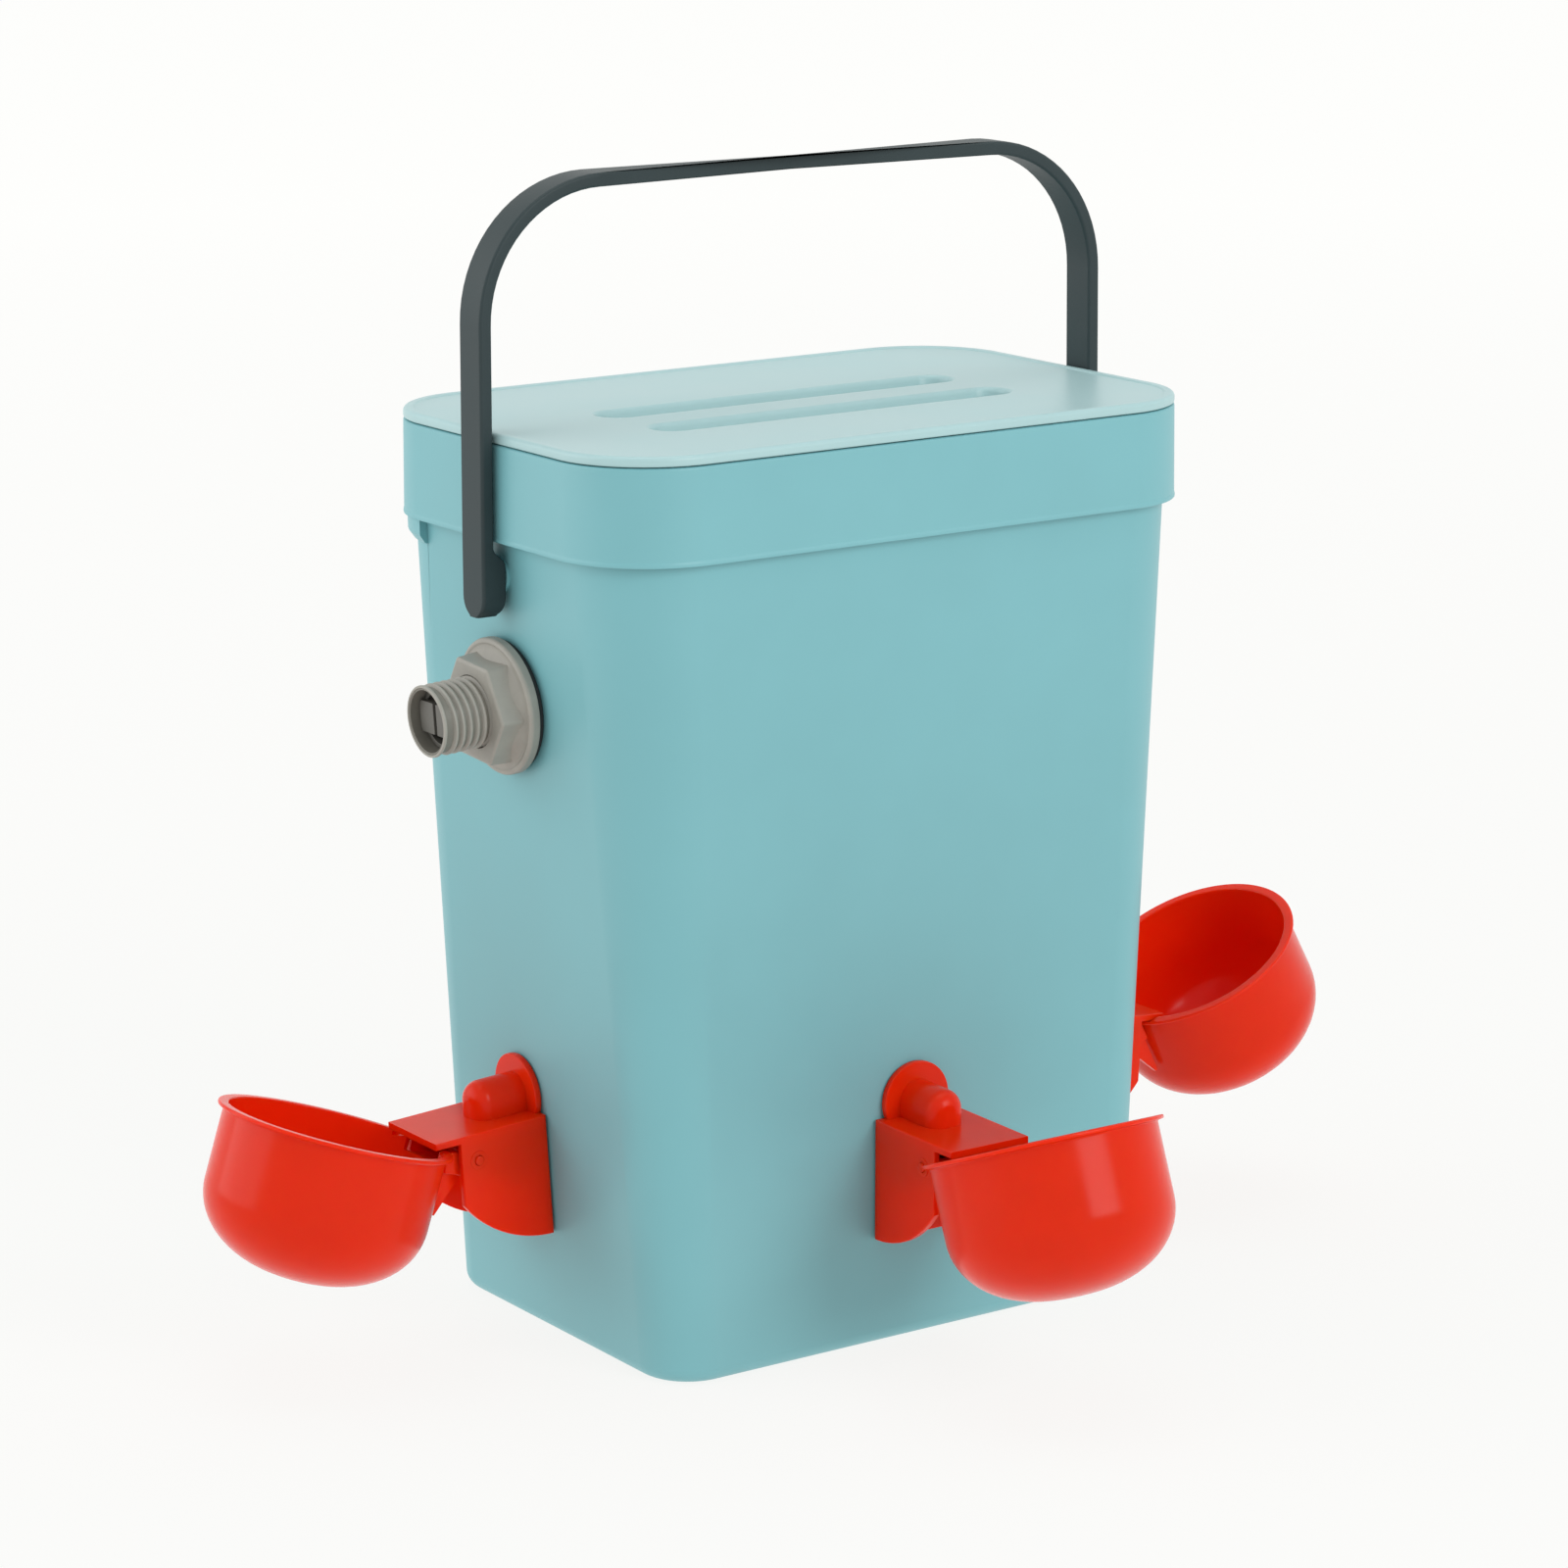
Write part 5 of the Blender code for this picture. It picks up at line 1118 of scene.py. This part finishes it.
class BUCKET_OT_drinkers(bpy.types.Operator):
    """Three tipping cups, each with its bracket, pin, pad, spring, seal and nut"""
    bl_idname = "bucket.drinkers"
    bl_label = "Drinkers"

    def execute(self, context):
        s = context.scene.bucket_sizes
        d = context.scene.drinker_sizes
        c = context.scene.cup_sizes
        stop, shut = travel["cup_tip_front"]["range_deg"]
        bracket = bracket_shape(d)
        cup = cup_shape(d, c, math.radians(shut - stop))
        pad_x = d.nozzle_reach - d.pin_reach
        pin_end = d.width / 2 + 0.8 * MM
        stem_bore = d.stem + 0.3 * MM
        for name, azimuth in SIDES:
            wall = wall_place(s, azimuth, d.height, drinker_shift(d, name))
            back = wall_inside(s, azimuth)
            washer_back = back - 1.6 * MM
            swing = math.radians(travel["cup_tip_" + name]["range_deg"][1])
            pin = wall @ at(d.pin_reach, 0, -d.pin_drop)
            hinge = pin @ Matrix.Rotation(-swing, 4, "Y")
            pad = rod(c.pad, pad_top(d) - c.pad_thickness, pad_top(d), hinge @ at(pad_x, 0, 0), 40, 0.3 * MM)
            rivet = rod(d.pin, -pin_end, pin_end, pin @ ALONG_Y, 32, 0.4 * MM)
            spring = copy_of(spring_shape(d, c, swing), wall)
            washer = ring(stem_bore, 11.0 * MM, washer_back, back, wall @ ALONG_X, 56, 0.35 * MM)
            nut = hexagon_nut(12.6 * MM, washer_back - 6.3 * MM, washer_back - 0.3 * MM, stem_bore, wall)
            made = {}
            for piece, shape, finish, body, node, smooth in (
                    ("drinker_bracket_", copy_of(bracket, wall), "red_plastic", "bucket", "bracket_", 32.0),
                    ("drinker_cup_", copy_of(cup, hinge), "red_plastic", "cup_" + name, "cup_", 34.0),
                    ("nozzle_pad_", pad, "black_rubber", "cup_" + name, "valve_pad_", 35.0),
                    ("cup_pin_", rivet, "red_plastic", "bucket", "hinge_pin_", 35.0),
                    ("cup_spring_", spring, "stainless_steel", None, "return_spring_", 35.0),
                    ("stem_washer_", washer, "black_rubber", "bucket", "stem_seal_", 35.0),
                    ("stem_nut_", nut, "red_plastic", "bucket", "stem_lock_nut_", 30.0)):
                made[piece] = add_piece(piece + name, shape, finish, body, [node + name], smooth)
            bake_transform(made["cup_spring_"])
        bracket.free()
        cup.free()
        return {"FINISHED"}


# Name, place, the point that it lights, width and height, and power in watts
SOFTBOXES = (
    ("front_softbox", (0.36, -1.85, 1.05), (0, 0, 0.15), (1.05, 1.05), 17.0),
    ("left_softbox", (-1.9, 1.1, 0.9), (0, 0, 0.15), (2.4, 2.0), 25.0),
    ("top_softbox", (0.1, 0.1, 2.3), (0, 0, 0.2), (1.4, 1.4), 11.0))


class BUCKET_OT_stage(bpy.types.Operator):
    """Pale floor, soft studio light and the camera"""
    bl_idname = "bucket.stage"
    bl_label = "Stage"

    def execute(self, context):
        scene = context.scene
        settings = scene.stage_settings
        floor = bmesh.new()
        bmesh.ops.create_grid(floor, x_segments=1, y_segments=1, size=20.0)
        mesh = bpy.data.meshes.new("floor")
        floor.to_mesh(mesh)
        floor.free()
        obj = bpy.data.objects.new("floor", mesh)
        scene.collection.objects.link(obj)
        mesh.materials.append(paper_floor(settings.background))
        studio_world(scene, settings.background)
        for name, place, aim, size, watts in SOFTBOXES:
            lamp = bpy.data.lights.new(name, "AREA")
            lamp.shape = "RECTANGLE"
            lamp.size, lamp.size_y = size
            lamp.energy = watts
            light = bpy.data.objects.new(name, lamp)
            scene.collection.objects.link(light)
            direction = Vector(aim) - Vector(place)
            turn = direction.to_track_quat("-Z", "Y").to_matrix().to_4x4()
            light.matrix_world = Matrix.Translation(place) @ turn
        camera = bpy.data.objects.new("camera", bpy.data.cameras.new("camera"))
        scene.collection.objects.link(camera)
        camera.data.sensor_width = 36.0
        camera.data.lens = settings.lens
        camera.data.clip_end = 100.0
        az, el = settings.azimuth, settings.elevation
        back = Vector((math.sin(az) * math.cos(el), -math.cos(az) * math.cos(el), math.sin(el)))
        right = (-back).cross(Vector((0, 0, 1))).normalized()
        up = right.cross(-back)
        turned_right = right * math.cos(settings.roll) + up * math.sin(settings.roll)
        turned_up = up * math.cos(settings.roll) - right * math.sin(settings.roll)
        aim = Matrix((turned_right, turned_up, back)).transposed().to_4x4()
        camera.matrix_world = Matrix.Translation(Vector(settings.target) + back * settings.distance) @ aim
        scene.camera = camera
        scene.view_settings.view_transform = "Standard"
        return {"FINISHED"}


def seen_directly(tree):
    """1 for camera, glossy and transmission rays."""
    path = add_node(tree, "ShaderNodeLightPath")
    first = add_node(tree, "ShaderNodeMath", {"operation": "MAXIMUM"},
                     {0: path.outputs["Is Camera Ray"], 1: path.outputs["Is Glossy Ray"]})
    return add_node(tree, "ShaderNodeMath", {"operation": "MAXIMUM"},
                    {0: first.outputs[0], 1: path.outputs["Is Transmission Ray"]}).outputs[0]


def paper_floor(background):
    """Matt studio paper: nearly white to the camera, more so away from the bucket, with a faint shadow."""
    material, tree, place = new_finish("matt_studio_paper")
    paper = add_node(tree, "ShaderNodeBsdfDiffuse", inputs={"Color": (0.1, 0.1, 0.1, 1)})
    away = add_node(tree, "ShaderNodeVectorMath", {"operation": "LENGTH"}, {0: place}).outputs["Value"]
    near, far, bounced = 0.9, 0.975, 0.88
    seen = add_node(tree, "ShaderNodeMapRange", inputs={
        "Value": away, "From Min": 0.2, "From Max": 3.0, "To Min": near, "To Max": far})
    strength = add_node(tree, "ShaderNodeMapRange", inputs={
        "Value": seen_directly(tree), "To Min": bounced, "To Max": seen.outputs["Result"]})
    glow = add_node(tree, "ShaderNodeEmission", inputs={"Color": (*background, 1),
                                                        "Strength": strength.outputs["Result"]})
    both = add_node(tree, "ShaderNodeAddShader", inputs={0: paper.outputs[0], 1: glow.outputs[0]})
    add_node(tree, "ShaderNodeOutputMaterial", inputs={"Surface": both.outputs[0]})
    return material


def studio_world(scene, background):
    """Even white surroundings, brighter to the camera than as a light."""
    world = scene.world or bpy.data.worlds.new("studio")
    scene.world = world
    world.use_nodes = True
    tree = world.node_tree
    tree.nodes.clear()
    daylight, level = (0.96, 0.98, 1.0, 1), 0.55
    light = add_node(tree, "ShaderNodeBackground", inputs={"Color": daylight, "Strength": level})
    seen = add_node(tree, "ShaderNodeBackground", inputs={"Color": (*background, 1), "Strength": 1.0})
    mix = add_node(tree, "ShaderNodeMixShader", inputs={0: seen_directly(tree), 1: light.outputs[0],
                                                        2: seen.outputs[0]})
    add_node(tree, "ShaderNodeOutputWorld", inputs={"Surface": mix.outputs[0]})


class BUCKET_PT_panel(bpy.types.Panel):
    """Builds the drinker bucket piece by piece"""
    bl_label = "Drinker Bucket"
    bl_idname = "BUCKET_PT_panel"
    bl_space_type = "VIEW_3D"
    bl_region_type = "UI"
    bl_category = "Drinker Bucket"

    def draw(self, context):
        for operator in OPERATORS:
            self.layout.operator(operator.bl_idname)
        for name, group in GROUPS.items():
            box = self.layout.box()
            box.label(text=group.__name__)
            for key in group.__annotations__:
                box.prop(getattr(context.scene, name), key)


OPERATORS = (BUCKET_OT_body, BUCKET_OT_lid, BUCKET_OT_handle, BUCKET_OT_inlet, BUCKET_OT_float_valve,
             BUCKET_OT_drinkers, BUCKET_OT_stage)
GROUPS = {
    "bucket_sizes": BucketSizes,
    "lid_sizes": LidSizes,
    "handle_sizes": HandleSizes,
    "inlet_sizes": InletSizes,
    "valve_sizes": ValveSizes,
    "drinker_sizes": DrinkerSizes,
    "cup_sizes": CupSizes,
    "bucket_finishes": Finishes,
    "stage_settings": StageSettings,
}


def register():
    for cls in (*GROUPS.values(), *OPERATORS, BUCKET_PT_panel):
        bpy.utils.register_class(cls)
    for name, group in GROUPS.items():
        setattr(bpy.types.Scene, name, PointerProperty(type=group))


def unregister():
    for name in GROUPS:
        delattr(bpy.types.Scene, name)
    for cls in reversed((*GROUPS.values(), *OPERATORS, BUCKET_PT_panel)):
        bpy.utils.unregister_class(cls)


def main():
    register()
    bpy.ops.bucket.body()
    bpy.ops.bucket.lid()
    bpy.ops.bucket.handle()
    bpy.ops.bucket.inlet()
    bpy.ops.bucket.float_valve()
    bpy.ops.bucket.drinkers()
    bpy.ops.bucket.stage()


if __name__ == "__main__":
    main()
